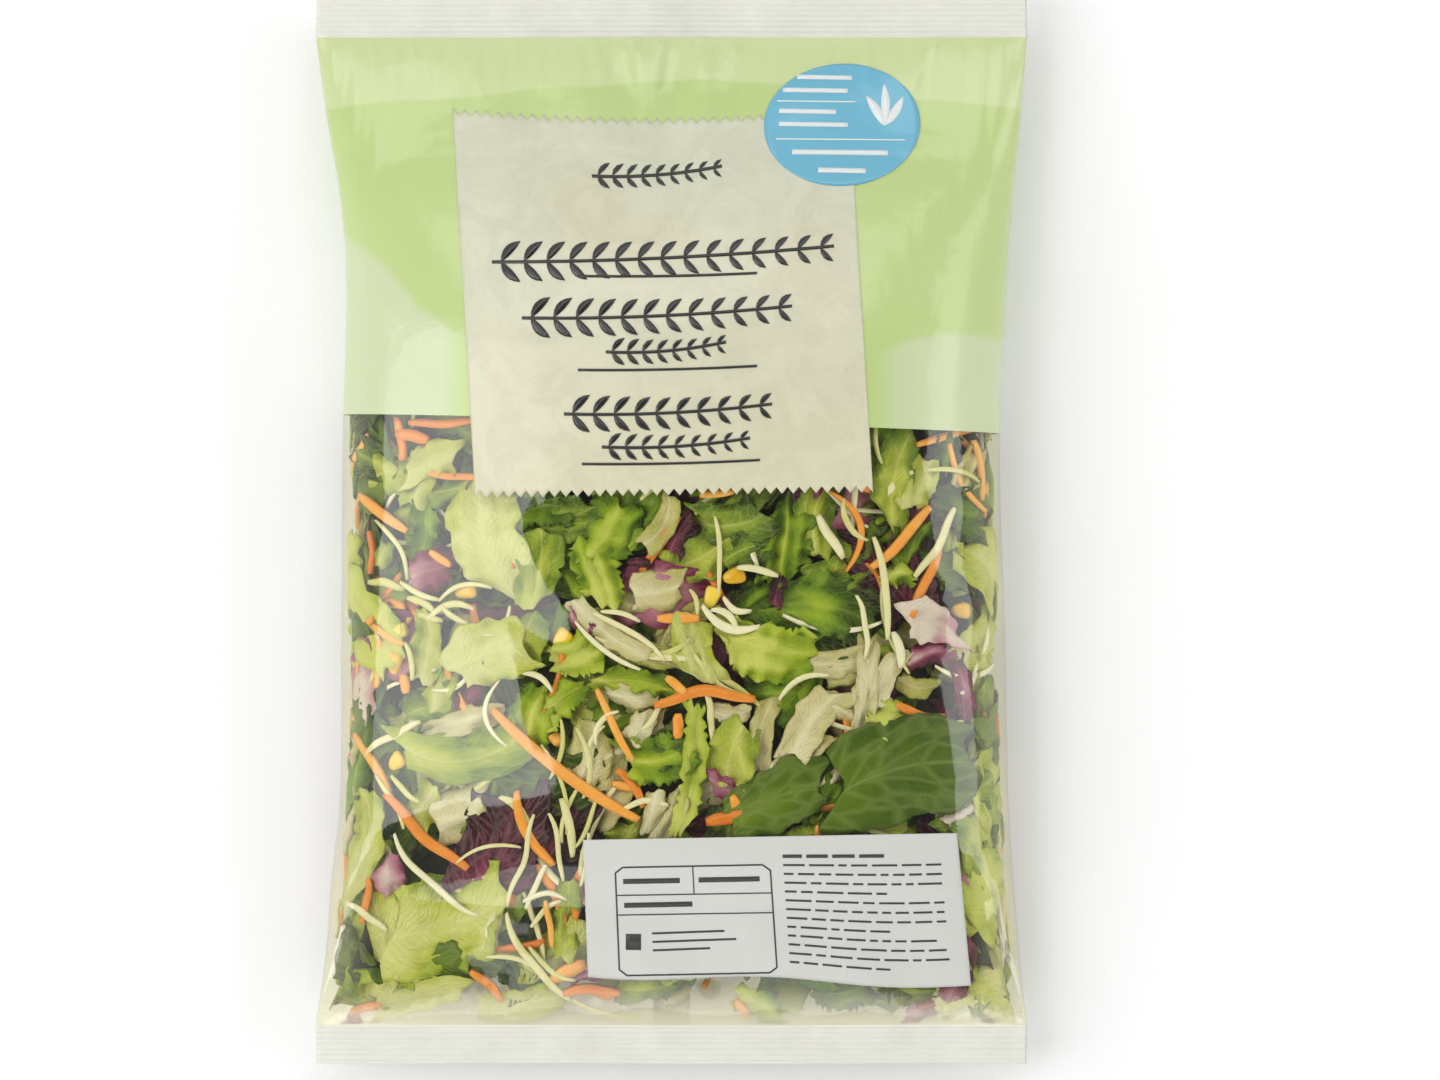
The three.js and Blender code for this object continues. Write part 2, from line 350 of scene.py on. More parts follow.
class Skin:
    """The bag's skin as a table of points and normals, by distance round it and along it.

    The distance round, a, is 0 at the front's middle and grows to the right."""

    STEP = 1.5
    ROUND = 384
    ACROSS = 181
    DEEPEST_SHARE = 0.42

    def __init__(self):
        self.along = np.arange(0, BAG_LENGTH + self.STEP / 2, self.STEP)
        w = np.linspace(-1, 1, self.ACROSS)
        u = crowded(w)
        table, girth = [], []
        for s in self.along:
            left, right = side_edges(s)
            x = left + (right - left) * (u + 1) / 2
            front = np.stack([x, front_height(x, s)], 1)
            back = np.stack([x, back_height(x, s)], 1)[-2:0:-1]
            ring = np.roll(np.vstack([front, back]), -(len(x) // 2), axis=0)
            ring = np.vstack([ring, ring[:1]])
            run = np.concatenate([[0], np.cumsum(np.hypot(*np.diff(ring, axis=0).T))])
            even = np.linspace(0, run[-1], self.ROUND, endpoint=False)
            table.append([np.interp(even, run, ring[:, k]) for k in (0, 1)])
            girth.append(run[-1])
        self.girth = np.array(girth)
        table = np.array(table)
        y = np.repeat(self.along[:, None] - BAG_LENGTH / 2, self.ROUND, 1)
        self.points = np.stack([table[:, 0], y, table[:, 1]], 2)
        smooth = self.points
        for _ in range(3):
            smooth = (smooth + np.roll(smooth, 1, 1) + np.roll(smooth, -1, 1)) / 3
        round_way = np.roll(smooth, -2, 1) - np.roll(smooth, 2, 1)
        normal = np.cross(round_way, np.gradient(smooth, axis=0))
        self.normals = normal / np.maximum(np.linalg.norm(normal, axis=2, keepdims=True), 1e-9)

    def look_up(self, table, a, s):
        row = np.clip(s / self.STEP, 0, len(self.along) - 1.001)
        j = row.astype(int)
        column = a / self.girth[j] * self.ROUND
        k = np.floor(column).astype(int)
        f, g = (row - j)[..., None], (column - k)[..., None]
        k, n = k % self.ROUND, (k + 1) % self.ROUND
        low = table[j, k] * (1 - g) + table[j, n] * g
        high = table[j + 1, k] * (1 - g) + table[j + 1, n] * g
        return low * (1 - f) + high * f

    def inside(self, a, s, depth):
        """Points at that depth under the skin, or halfway through the bag where it is thinner."""
        a, s, depth = np.broadcast_arrays(*(np.asarray(v, float) for v in (a, s, depth)))
        depth = np.minimum(depth, self.DEEPEST_SHARE * thickness(s))[..., None]
        return self.look_up(self.points, a, s) - depth * self.look_up(self.normals, a, s)

    def round_at(self, x, s):
        """The distance round at which the front is at x."""
        j = int(np.clip(round(float(s) / self.STEP), 0, len(self.along) - 1))
        k = np.arange(-self.ROUND // 4, self.ROUND // 4 + 1)
        return float(np.interp(x, self.points[j, k, 0], k * self.girth[j] / self.ROUND))


skin = Skin()


def seen_at(pixel_x, pixel_y):
    """The x and s of the bag's front that the photograph shows at a pixel."""
    x0 = (np.asarray(pixel_x, float) - PHOTO_WIDTH / 2) * MM_PER_PIXEL
    y0 = (PHOTO_HEIGHT / 2 - np.asarray(pixel_y, float)) * MM_PER_PIXEL
    x, s = x0 + CAMERA_X, y0 + CAMERA_Y + BAG_LENGTH / 2
    for _ in range(4):
        nearer = 1 - (front_height(x, s) - SEAL_LEVEL) / CAMERA_DISTANCE
        x, s = x0 * nearer + CAMERA_X, y0 * nearer + CAMERA_Y + BAG_LENGTH / 2
    return x, s


def spot_at(pixel_x, pixel_y):
    """The same place as distances round and along the skin."""
    x, s = seen_at(pixel_x, pixel_y)
    return skin.round_at(x, s), float(s)


def between_corners(corners, c, t):
    """Pixels inside four corners, c from left to right and t from bottom to top, 0 to 1."""
    top_left, top_right, low_left, low_right = (np.array(corner, float) for corner in corners)
    c, t = c[..., None], t[..., None]
    low = low_left * (1 - c) + low_right * c
    high = top_left * (1 - c) + top_right * c
    return low * (1 - t) + high * t


def on_film(pixel_x, pixel_y, lift):
    """Points that lie that far above the film where the photograph shows these pixels."""
    x, s = seen_at(pixel_x, pixel_y)
    return np.stack([x, s - BAG_LENGTH / 2, film_front(x, s) + lift], -1)


def srgb(red, green, blue):
    """A picture colour, 0 to 255, as the shader's linear colour."""
    def linear(value):
        value /= 255
        return value / 12.92 if value <= 0.04045 else ((value + 0.055) / 1.055) ** 2.4
    return (linear(red), linear(green), linear(blue), 1)


# Meshes


def start_mesh():
    """An empty bmesh with the grain's UV map, the tint, and the painted shade of hollows and ridges."""
    bm = bmesh.new()
    bm.loops.layers.uv.new("grain")
    bm.verts.layers.float.new("tint")
    bm.verts.layers.float.new("hollow")
    return bm


def add_grid(bm, across, along):
    """Adds a unit grid and gives its vertices with their places across and along, 0 to 1."""
    made = bmesh.ops.create_grid(bm, x_segments=across, y_segments=along, size=0.5, calc_uvs=True)
    verts = made["verts"]
    places = np.array([v.co[:2] for v in verts]) + 0.5
    return verts, places[:, 0], places[:, 1]


def write_points(verts, points):
    """Moves the vertices to points given in millimetres."""
    for vert, point in zip(verts, points):
        vert.co = Vector(point) * MM


# Gives vertices their tint, and the painted shade of their hollow or painted light of their ridge.
def set_tint(bm, verts, tint, hollow=0):
    tints, hollows = bm.verts.layers.float["tint"], bm.verts.layers.float["hollow"]
    for vert, value in zip(verts, np.broadcast_to(hollow, len(verts))):
        vert[tints] = tint
        vert[hollows] = value


def finish_piece(bm, name, materials, wall=0.0, replaced=()):
    """Makes a mesh object of the bmesh, with its materials, wall and body."""
    mesh = bpy.data.meshes.new(name)
    bm.to_mesh(mesh)
    bm.free()
    mesh.shade_smooth()
    piece = bpy.data.objects.new(name, mesh)
    bpy.context.scene.collection.objects.link(piece)
    for material in materials:
        mesh.materials.append(material)
    if wall:
        solid = piece.modifiers.new("wall", "SOLIDIFY")
        solid.thickness = wall
        solid.offset = -1
    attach(piece, ROOT)
    if replaced:
        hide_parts(*replaced)
    return piece


# Materials


def new_material(name):
    material = bpy.data.materials.new(name)
    material.use_nodes = True
    tree = material.node_tree
    tree.nodes.clear()
    return material, tree, tree.nodes.new("ShaderNodeOutputMaterial")


def fill_socket(tree, socket, value):
    if isinstance(value, bpy.types.NodeSocket):
        tree.links.new(value, socket)
    else:
        socket.default_value = value


def add_node(tree, kind, **values):
    node = tree.nodes.new(kind)
    for name, value in values.items():
        fill_socket(tree, node.inputs[name.replace("_", " ")], value)
    return node


def attribute(tree, name):
    node = tree.nodes.new("ShaderNodeAttribute")
    node.attribute_name = name
    return node.outputs["Fac"]


def object_place(tree):
    return tree.nodes.new("ShaderNodeTexCoord").outputs["Object"]


def noise(tree, place, scale, detail=2.0, roughness=0.5, distortion=0.0):
    node = add_node(tree, "ShaderNodeTexNoise", Vector=place, Scale=scale, Detail=detail,
                    Roughness=roughness, Distortion=distortion)
    return node.outputs["Fac"]


def ramp(tree, factor, stops):
    """A colour ramp with (place, colour) stops."""
    node = add_node(tree, "ShaderNodeValToRGB", Fac=factor)
    elements = node.color_ramp.elements
    while len(elements) < len(stops):
        elements.new(0.5)
    for element, (place, colour) in zip(elements, stops):
        element.position = place
        element.color = colour
    return node.outputs["Color"]


def blend_colours(tree, factor, first, second, mode="MIX"):
    node = tree.nodes.new("ShaderNodeMix")
    node.data_type = "RGBA"
    node.blend_type = mode
    for index, value in ((0, factor), (6, first), (7, second)):
        fill_socket(tree, node.inputs[index], value)
    return node.outputs[2]


def maths(tree, operation, *values, clamp=False):
    node = tree.nodes.new("ShaderNodeMath")
    node.operation = operation
    node.use_clamp = clamp
    for socket, value in zip(node.inputs, values):
        fill_socket(tree, socket, value)
    return node.outputs[0]


def swing(tree, value, middle, gain):
    """How far a value stands off a middle, times a gain."""
    return maths(tree, "MULTIPLY", maths(tree, "SUBTRACT", value, middle), gain)


def mix_shaders(tree, factor, first, second):
    node = add_node(tree, "ShaderNodeMixShader", Fac=factor)
    tree.links.new(first.outputs[0], node.inputs[1])
    tree.links.new(second.outputs[0], node.inputs[2])
    return node


def bump(tree, height, strength, distance):
    node = add_node(tree, "ShaderNodeBump", Strength=strength, Distance=distance, Height=height)
    return node.outputs["Normal"]


def split_place(tree, place):
    node = tree.nodes.new("ShaderNodeSeparateXYZ")
    tree.links.new(place, node.inputs[0])
    return node.outputs["X"], node.outputs["Y"], node.outputs["Z"]


def film_relief(tree, strength, fine_share=0.16):
    """Slack ripples of thin film, as a normal."""
    place = object_place(tree)
    broad = noise(tree, place, 38, 2, 0.5, 0.6)
    fine = noise(tree, place, 160, 3, 0.6, 1.2)
    height = maths(tree, "ADD", broad, maths(tree, "MULTIPLY", fine, fine_share))
    return bump(tree, height, strength, 0.0016)


def clear_film(name, tint, milk_colour, milk, roughness, relief=0.5):
    """Film that is see-through, mirrors the lights and is milky by milk(tree), 0 to 1."""
    material, tree, out = new_material(name)
    normal = film_relief(tree, relief, 0.04)
    through = add_node(tree, "ShaderNodeBsdfTransparent", Color=tint)
    mirror = add_node(tree, "ShaderNodeBsdfGlossy", Roughness=roughness, Normal=normal)
    cloudy = add_node(tree, "ShaderNodeBsdfDiffuse", Color=milk_colour, Normal=normal)
    facing = add_node(tree, "ShaderNodeLayerWeight", Blend=0.5, Normal=normal).outputs["Facing"]
    mirrored = maths(tree, "MULTIPLY_ADD", maths(tree, "POWER", facing, 5), 1 - FILM_MIRROR, FILM_MIRROR)
    hazy = mix_shaders(tree, milk(tree), through, cloudy)
    both = mix_shaders(tree, mirrored, hazy, mirror)
    tree.links.new(both.outputs[0], out.inputs["Surface"])
    return material


# Where the clear film gets a painted milky veil, in metres: from which place, over what reach, and how
# milky. The veil is a painted reflection of the film seen edge-on, and painted light over the shade just
# above the bottom seal.
LOW_VEIL_FROM, LOW_VEIL_REACH, LOW_VEIL = -0.150, 0.015, 0.5
SIDE_VEIL_FROM, SIDE_VEIL_REACH, SIDE_VEIL = 0.096, 0.013, 0.14
# Faint clouds of the film's own haze.
CLOUD_MILK = 0.012


def window_haze_and_veil(tree):
    """A painted milky veil along the sides and towards the bottom seal, where the film is seen edge-on,
    for its reflection there, with faint clouds of the film's own haze.
    """
    place = object_place(tree)
    x, y, _ = split_place(tree, place)
    low = maths(tree, "SUBTRACT", LOW_VEIL_FROM, y)
    low = maths(tree, "DIVIDE", low, LOW_VEIL_REACH, clamp=True)
    side = maths(tree, "SUBTRACT", maths(tree, "ABSOLUTE", x), SIDE_VEIL_FROM)
    side = maths(tree, "DIVIDE", side, SIDE_VEIL_REACH, clamp=True)
    cloud = maths(tree, "MULTIPLY", noise(tree, place, 30, 2), CLOUD_MILK)
    milk = maths(tree, "MAXIMUM", maths(tree, "MULTIPLY", low, LOW_VEIL),
                 maths(tree, "MULTIPLY", side, SIDE_VEIL))
    return maths(tree, "ADD", milk, cloud)


def seal_milk(tree):
    """Milkiness of the welded film, uneven along the seal."""
    return maths(tree, "ADD", maths(tree, "MULTIPLY", noise(tree, object_place(tree), 60, 3), 0.3), 0.62)


def printed_film(name, colour_of, relief=0.4, roughness=0.34, coat=0.5):
    """Opaque print under glossy film. colour_of(tree) gives the colour."""
    material, tree, out = new_material(name)
    normal = film_relief(tree, relief)
    # The print's colour is darkened evenly by a painted shade.
    colour = blend_colours(tree, 1.0, colour_of(tree), PRINT_PAINTED_SHADE, "MULTIPLY")
    shader = add_node(tree, "ShaderNodeBsdfPrincipled", Roughness=roughness, IOR=1.5, Coat_Weight=coat,
                      Coat_Roughness=0.12, Base_Color=colour, Normal=normal, Coat_Normal=normal)
    tree.links.new(shader.outputs[0], out.inputs["Surface"])
    return material


# The green print's light top band, in metres: its edge's height, arch and wander.
BAND_LEVEL, BAND_ARCH, BAND_WANDER = 0.1455, 0.6, 0.012
# Its clouds at the sides: how far from the middle they start, how high they reach there, how much they
# climb outwards and to the left, and how deep their puffs are.
CLOUD_START, CLOUD_TOP, CLOUD_CLIMB, CLOUD_TILT, PUFF_DEPTH = 0.066, 0.076, 0.5, 0.12, 0.025


def green_colour(tree):
    """Pale green with a lighter band at the top and soft lighter clouds low down at the sides."""
    place = object_place(tree)
    x, y, _ = split_place(tree, place)
    drift = noise(tree, place, 14, 2, 0.45)
    wander = swing(tree, drift, 0.5, BAND_WANDER)
    colour = blend_colours(tree, drift, srgb(195, 217, 136), srgb(203, 222, 148))
    arc = maths(tree, "MULTIPLY", maths(tree, "MULTIPLY", x, x), BAND_ARCH)
    band = maths(tree, "ADD", maths(tree, "SUBTRACT", y, BAND_LEVEL), maths(tree, "ADD", wander, arc))
    colour = blend_colours(tree, maths(tree, "MULTIPLY", band, 900, clamp=True), colour, srgb(213, 227, 164))
    puffs = add_node(tree, "ShaderNodeTexVoronoi", Vector=place, Scale=22.0)
    away = maths(tree, "SUBTRACT", maths(tree, "ABSOLUTE", x), CLOUD_START)
    edge = maths(tree, "SUBTRACT", maths(tree, "MULTIPLY_ADD", away, CLOUD_CLIMB, CLOUD_TOP),
                 maths(tree, "MULTIPLY", x, CLOUD_TILT))
    puff = maths(tree, "MULTIPLY", puffs.outputs["Distance"], PUFF_DEPTH)
    edge = maths(tree, "SUBTRACT", edge, puff)
    cloud = maths(tree, "MULTIPLY", maths(tree, "SUBTRACT", edge, y), 300, clamp=True)
    aside = maths(tree, "MULTIPLY", away, 120, clamp=True)
    return blend_colours(tree, maths(tree, "MULTIPLY", cloud, aside), colour, srgb(211, 224, 176))


def panel_colour(tree):
    """Grey-beige paper with faint fibres and a few warm stains, and painted shade along a pattern of creases.
    """
    place = object_place(tree)
    _, y, _ = split_place(tree, place)
    lower = maths(tree, "ADD", maths(tree, "MULTIPLY", y, -7), 0.72, clamp=True)
    colour = blend_colours(tree, lower, srgb(224, 225, 200), srgb(236, 227, 190))
    warm = ramp(tree, noise(tree, place, 17), ((0.56, (0, 0, 0, 1)), (0.72, (1, 1, 1, 1))))
    colour = blend_colours(tree, maths(tree, "MULTIPLY", warm, 0.3), colour, srgb(222, 208, 165))
    # Painted shade: the colour is darker along a pattern of creases.
    folds = noise(tree, place, 46, 4, 0.65, 1.6)
    shade = ramp(tree, folds, ((0.42, (0.93, 0.93, 0.92, 1)), (0.58, (1, 1, 1, 1))))
    colour = blend_colours(tree, 1.0, colour, shade, "MULTIPLY")
    fibres = noise(tree, place, 420, 6, 0.7)
    grain = ramp(tree, fibres, ((0.3, (0.95, 0.95, 0.94, 1)), (0.7, (1, 1, 1, 1))))
    return blend_colours(tree, 1.0, colour, grain, "MULTIPLY")


def even_colour(colour, spread=0.05):
    """A print colour with a slight unevenness."""
    def made(tree):
        darker = tuple(channel * (1 - spread) for channel in colour[:3]) + (1,)
        return blend_colours(tree, noise(tree, object_place(tree), 60, 3), darker, colour)
    return made


# How much plain food's tint varies by blotches.
FOOD_BLOTCHES = 0.6
# How much a leaf deepens from its rib to its edge, from its foot to its tip and by blotches, and how
# much painted shade darkens its hollows and painted light brightens its ridges.
EDGE_SHADE, TIP_SHADE, PAINTED_HOLLOW_SHADE, BLOTCH_SHADE = 0.8, 0.3, 0.17, 0.45
# How its side veins slant and wander, and how many of them there are to a cell of the net.
VEIN_SLANT, VEIN_WANDER, VEINS_TO_CELL = 0.8, 0.25, 2.2
# How far apart two tints place their pieces in the net's pattern.
NET_SPREAD = 37.0

# A leaf's finish: its colours from the palest piece to the deepest, the colour and strength of its
# veins, the rib's half width as a share, gloss, glow of light from behind, cells of the net of veins
# along it, strength of its side veins and width of the net's lines.
LeafLook = namedtuple("LeafLook", "stops vein vein_strength rib_width gloss glow cells lines net_width",
                      defaults=(0.38, 0.15, 7.0, 0.8, 0.12))


def leaf_shade(tree, across, v, blotch):
    """How much deeper a spot on a leaf is than its tint, with painted shade in its hollows and painted light
    on its ridges.
    """
    uneven = swing(tree, blotch, 0.5, BLOTCH_SHADE)
    outward = swing(tree, across, 0.25, EDGE_SHADE)
    along = swing(tree, v, 0.5, TIP_SHADE)
    # Painted shade in the hollows and painted light on the ridges, by how far they lie from the leaf's plane.
    along = maths(tree, "MULTIPLY_ADD", attribute(tree, "hollow"), PAINTED_HOLLOW_SHADE, along)
    return maths(tree, "ADD", maths(tree, "ADD", outward, along), uneven)


def leaf_veins(tree, look, across, v, tint, blotch):
    """Where a leaf is pale, 0 to 1: its rib, its slanted side veins and the net between them."""
    slant = maths(tree, "SUBTRACT", v, maths(tree, "MULTIPLY", across, VEIN_SLANT))
    cell_place = add_node(tree, "ShaderNodeCombineXYZ", X=maths(tree, "MULTIPLY", across, look.cells),
                          Y=maths(tree, "MULTIPLY", slant, look.cells),
                          Z=maths(tree, "MULTIPLY", tint, NET_SPREAD))
    net = add_node(tree, "ShaderNodeTexVoronoi", Vector=cell_place.outputs[0], Scale=1.0)
    net.feature = "DISTANCE_TO_EDGE"
    net_stops = ((0.0, (0.6, 0.6, 0.6, 1)), (look.net_width, (0, 0, 0, 1)))
    bent = swing(tree, blotch, 0.5, VEIN_WANDER)
    line = maths(tree, "MULTIPLY", maths(tree, "ADD", slant, bent), VEINS_TO_CELL * look.cells)
    line = maths(tree, "PINGPONG", line, 0.5)
    line_stops = ((0.34, (0, 0, 0, 1)), (0.5, (look.lines, look.lines, look.lines, 1)))
    veins = maths(tree, "MAXIMUM", ramp(tree, net.outputs["Distance"], net_stops),
                  ramp(tree, line, line_stops))
    rib = maths(tree, "SUBTRACT", 1, maths(tree, "DIVIDE", across, look.rib_width), clamp=True)
    return maths(tree, "MULTIPLY", maths(tree, "MAXIMUM", rib, veins), look.vein_strength, clamp=True)


def leaf_material(name, look):
    """Leaf that shades from its rib outwards, with veins and painted shade in its hollows, and lets some
    light through.
    """
    material, tree, out = new_material(name)
    grain = tree.nodes.new("ShaderNodeUVMap")
    grain.uv_map = "grain"
    u, v, _ = split_place(tree, grain.outputs["UV"])
    across = maths(tree, "ABSOLUTE", maths(tree, "SUBTRACT", u, 0.5))
    tint = attribute(tree, "tint")
    place = object_place(tree)
    blotch = noise(tree, place, 90, 4, 0.6)
    shade = leaf_shade(tree, across, v, blotch)
    pale = leaf_veins(tree, look, across, v, tint, blotch)
    colour = ramp(tree, maths(tree, "ADD", tint, shade, clamp=True), look.stops)
    colour = blend_colours(tree, pale, colour, look.vein)
    height = maths(tree, "ADD", maths(tree, "MULTIPLY", noise(tree, place, 520, 3, 0.6), 0.25),
                   maths(tree, "ADD", blotch, maths(tree, "MULTIPLY", pale, 0.5)))
    shader = add_node(tree, "ShaderNodeBsdfPrincipled", Roughness=look.gloss, IOR=1.32,
                      Base_Color=colour, Normal=bump(tree, height, 0.8, 0.002))
    lit = add_node(tree, "ShaderNodeBsdfTranslucent", Color=colour)
    both = mix_shaders(tree, look.glow, shader, lit)
    tree.links.new(both.outputs[0], out.inputs["Surface"])
    return material


def food_material(name, stops, scale, gloss, coat=0.0):
    """Plain moist food, shaded by its tint and a fine unevenness."""
    material, tree, out = new_material(name)
    blotch = noise(tree, object_place(tree), scale, 4, 0.6)
    uneven = swing(tree, blotch, 0.5, FOOD_BLOTCHES)
    colour = ramp(tree, maths(tree, "ADD", attribute(tree, "tint"), uneven, clamp=True), stops)
    shader = add_node(tree, "ShaderNodeBsdfPrincipled", Roughness=gloss, IOR=1.42, Coat_Weight=coat,
                      Coat_Roughness=0.15, Base_Color=colour, Normal=bump(tree, blotch, 0.3, 0.0008))
    tree.links.new(shader.outputs[0], out.inputs["Surface"])
    return material


# Salad. The rows of the tables below are pieces that the photograph shows, by pixel.

# Broad pieces: (pixel x, pixel y, turn in degrees, length, width, tint, depth under the film).
LETTUCE = (
    (376, 473, 10, 20, 15, 0.35, 2.5), (427, 462, 15, 19, 13, 0.15, 2.0),
    (413, 485, 80, 15, 12, 0.3, 3.0), (449, 489, 20, 16, 10, 0.8, 4.0),
    (407, 510, 20, 15, 8, 0.65, 3.5), (484, 545, 108, 38, 23, 0.04, 1.2),
    (377, 556, 60, 9, 7, 0.5, 3.0), (353, 575, 88, 24, 6, 0.5, 3.0), (487, 655, 20, 27, 21, 0.15, 1.8),
    (518, 645, 70, 20, 14, 0.45, 2.8), (424, 648, 85, 22, 11, 0.35, 2.5),
    (436, 690, 70, 14, 10, 0.3, 2.0), (459, 762, 5, 44, 17, 0.6, 2.2),
    (438, 703, 12, 34, 13, 0.75, 4.0), (360, 850, 85, 38, 13, 0.2, 2.5),
    (419, 808, 60, 15, 13, 0.25, 3.0), (449, 930, 20, 40, 30, 0.3, 2.0),
    (383, 945, 105, 34, 20, 0.02, 2.2), (538, 570, 80, 24, 15, 0.6, 2.0),
    (564, 520, 15, 20, 14, 0.7, 3.0), (735, 526, 10, 21, 19, 0.78, 2.5),
    (746, 550, 20, 18, 11, 0.8, 3.2), (898, 478, 78, 32, 15, 0.45, 1.5),
    (927, 484, 70, 18, 12, 0.2, 3.0), (962, 545, 80, 28, 13, 0.45, 3.0),
    (731, 754, 75, 21, 15, 0.35, 1.5), (693, 652, 105, 21, 14, 0.08, 1.6),
    (888, 829, 5, 15, 8, 0.12, 3.0), (994, 664, 88, 38, 8, 0.25, 3.0), (990, 765, 85, 26, 8, 0.25, 3.5),
    (972, 900, 80, 36, 12, 0.45, 2.5), (859, 540, 75, 26, 20, 0.85, 7.0),
    (975, 775, 70, 14, 10, 0.4, 3.0), (567, 925, 85, 27, 10, 0.55, 2.5),
    (908, 1000, 0, 24, 11, 0.6, 3.0), (644, 996, 5, 20, 10, 0.55, 3.0),
    (620, 860, 70, 24, 16, 0.4, 5.0), (800, 860, 20, 30, 18, 0.4, 4.0),
    (560, 960, 30, 24, 15, 0.15, 4.0), (700, 960, 10, 30, 16, 0.3, 4.0),
    (420, 1000, 10, 30, 11, 0.02, 3.0), (520, 1010, 5, 28, 10, 0.05, 3.0),
    (818, 512, 75, 28, 14, 0.55, 4.5), (845, 575, 20, 24, 13, 0.65, 5.0),
    (700, 560, 30, 22, 14, 0.5, 5.0),
)
ENDIVE = (
    (538, 507, 10, 17, 13, 0.75, 3.0), (608, 533, 60, 22, 18, 0.45, 1.8),
    (596, 575, 100, 20, 15, 0.3, 1.6), (575, 658, 25, 18, 15, 0.15, 1.8),
    (529, 722, 70, 21, 18, 0.3, 2.0), (638, 682, -8, 30, 8, 0.4, 2.6),
    (827, 607, -10, 38, 22, 0.7, 1.8), (763, 650, -15, 33, 19, 0.15, 1.5),
    (656, 762, 10, 20, 17, 0.5, 1.8), (921, 541, 60, 18, 16, 0.85, 4.0), (901, 573, 0, 11, 8, 0.3, 2.2),
    (888, 720, 20, 14, 11, 0.05, 1.3), (419, 533, 80, 17, 12, 0.55, 2.6),
    (956, 449, 70, 12, 10, 0.8, 3.0), (694, 772, 82, 44, 8, 0.2, 1.5),
    (761, 1010, -30, 18, 10, 0.35, 2.6), (843, 1002, 5, 22, 10, 0.75, 3.0),
    (981, 992, -60, 20, 14, 0.5, 2.4), (560, 700, 40, 16, 12, 0.35, 3.0),
    (790, 480, 70, 22, 16, 0.8, 8.0), (760, 600, 30, 22, 16, 0.85, 6.0),
    (610, 720, 20, 18, 12, 0.6, 6.0), (800, 690, 60, 20, 16, 0.7, 6.0),
    (988, 830, 60, 16, 12, 0.7, 4.0), (880, 650, 10, 18, 14, 0.6, 5.0),
    (545, 640, 60, 20, 16, 0.75, 7.0), (710, 500, 20, 20, 12, 0.6, 6.0),
    (788, 542, 80, 28, 18, 0.6, 5.0),
)
DARK_LEAVES = (
    (905, 768, 12, 50, 35, 0.55, 1.2), (775, 800, 22, 34, 21, 0.35, 1.6),
    (668, 748, 40, 15, 11, 0.6, 3.0), (820, 640, 0, 24, 14, 0.8, 6.0),
)
RIBS = (
    (658, 594, 10, 16, 13, 0.35, 2.4), (628, 645, -28, 36, 10, 0.6, 2.2),
    (606, 634, -38, 30, 7, 0.35, 2.8), (664, 525, 62, 19, 8, 0.75, 2.2),
    (631, 698, 0, 16, 6.5, 0.2, 2.0), (590, 757, 75, 20, 15, 0.35, 2.4),
    (640, 729, 60, 11, 8, 0.1, 2.0), (732, 716, 0, 12, 6, 0.15, 2.0), (812, 722, 52, 26, 13, 0.3, 1.6),
    (842, 708, -15, 12, 9, 0.3, 2.2), (868, 690, 84, 32, 8, 0.15, 1.4), (888, 675, 62, 20, 7, 0.1, 2.0),
    (652, 815, 80, 15, 7, 0.1, 1.6), (672, 822, 68, 20, 6.5, 0.25, 1.8),
    (923, 689, -8, 14, 7, 0.8, 3.4), (459, 722, 14, 29, 7.5, 0.3, 1.6),
    (461, 815, 30, 21, 18, 0.15, 2.4), (488, 928, 78, 20, 7.5, 0.05, 1.2),
    (980, 472, 60, 15, 12, 0.55, 2.6), (802, 752, 45, 20, 10, 0.25, 2.6),
    (680, 640, 70, 18, 10, 0.4, 4.0), (762, 735, 80, 24, 8, 0.45, 3.0),
    (852, 770, 60, 18, 10, 0.3, 4.5), (612, 800, 60, 24, 12, 0.5, 4.5),
)
RED_LEAVES = (
    (427, 571, 15, 15, 13, 0.5, 2.6), (679, 532, 60, 14, 11, 0.95, 5.0),
    (778, 592, 75, 10, 5, 0.9, 2.6), (939, 622, -15, 21, 14, 0.05, 1.4),
    (935, 652, 10, 17, 8, 0.5, 2.2), (968, 683, 103, 24, 8, 0.6, 1.6),
    (503, 845, 70, 36, 28, 0.92, 2.8), (566, 835, 60, 26, 17, 0.95, 3.6),
    (385, 880, 110, 12, 11, 0.3, 2.0), (724, 790, -30, 11, 8, 0.5, 3.0),
    (962, 813, 15, 13, 9, 0.02, 1.6), (962, 975, 70, 22, 9, 0.7, 2.6),
    (930, 1010, 20, 18, 6, 0.55, 2.6), (593, 982, 10, 17, 4, 0.4, 2.0), (351, 1026, 40, 7, 5, 0.4, 1.6),
    (640, 563, 0, 8, 3, 0.9, 1.8), (577, 624, -40, 10, 4, 0.45, 2.0), (700, 480, 30, 20, 14, 0.95, 7.0),
    (640, 500, 50, 20, 16, 0.95, 8.0), (880, 690, 30, 18, 14, 0.95, 8.0),
    (745, 655, 40, 16, 12, 0.95, 8.0),
)

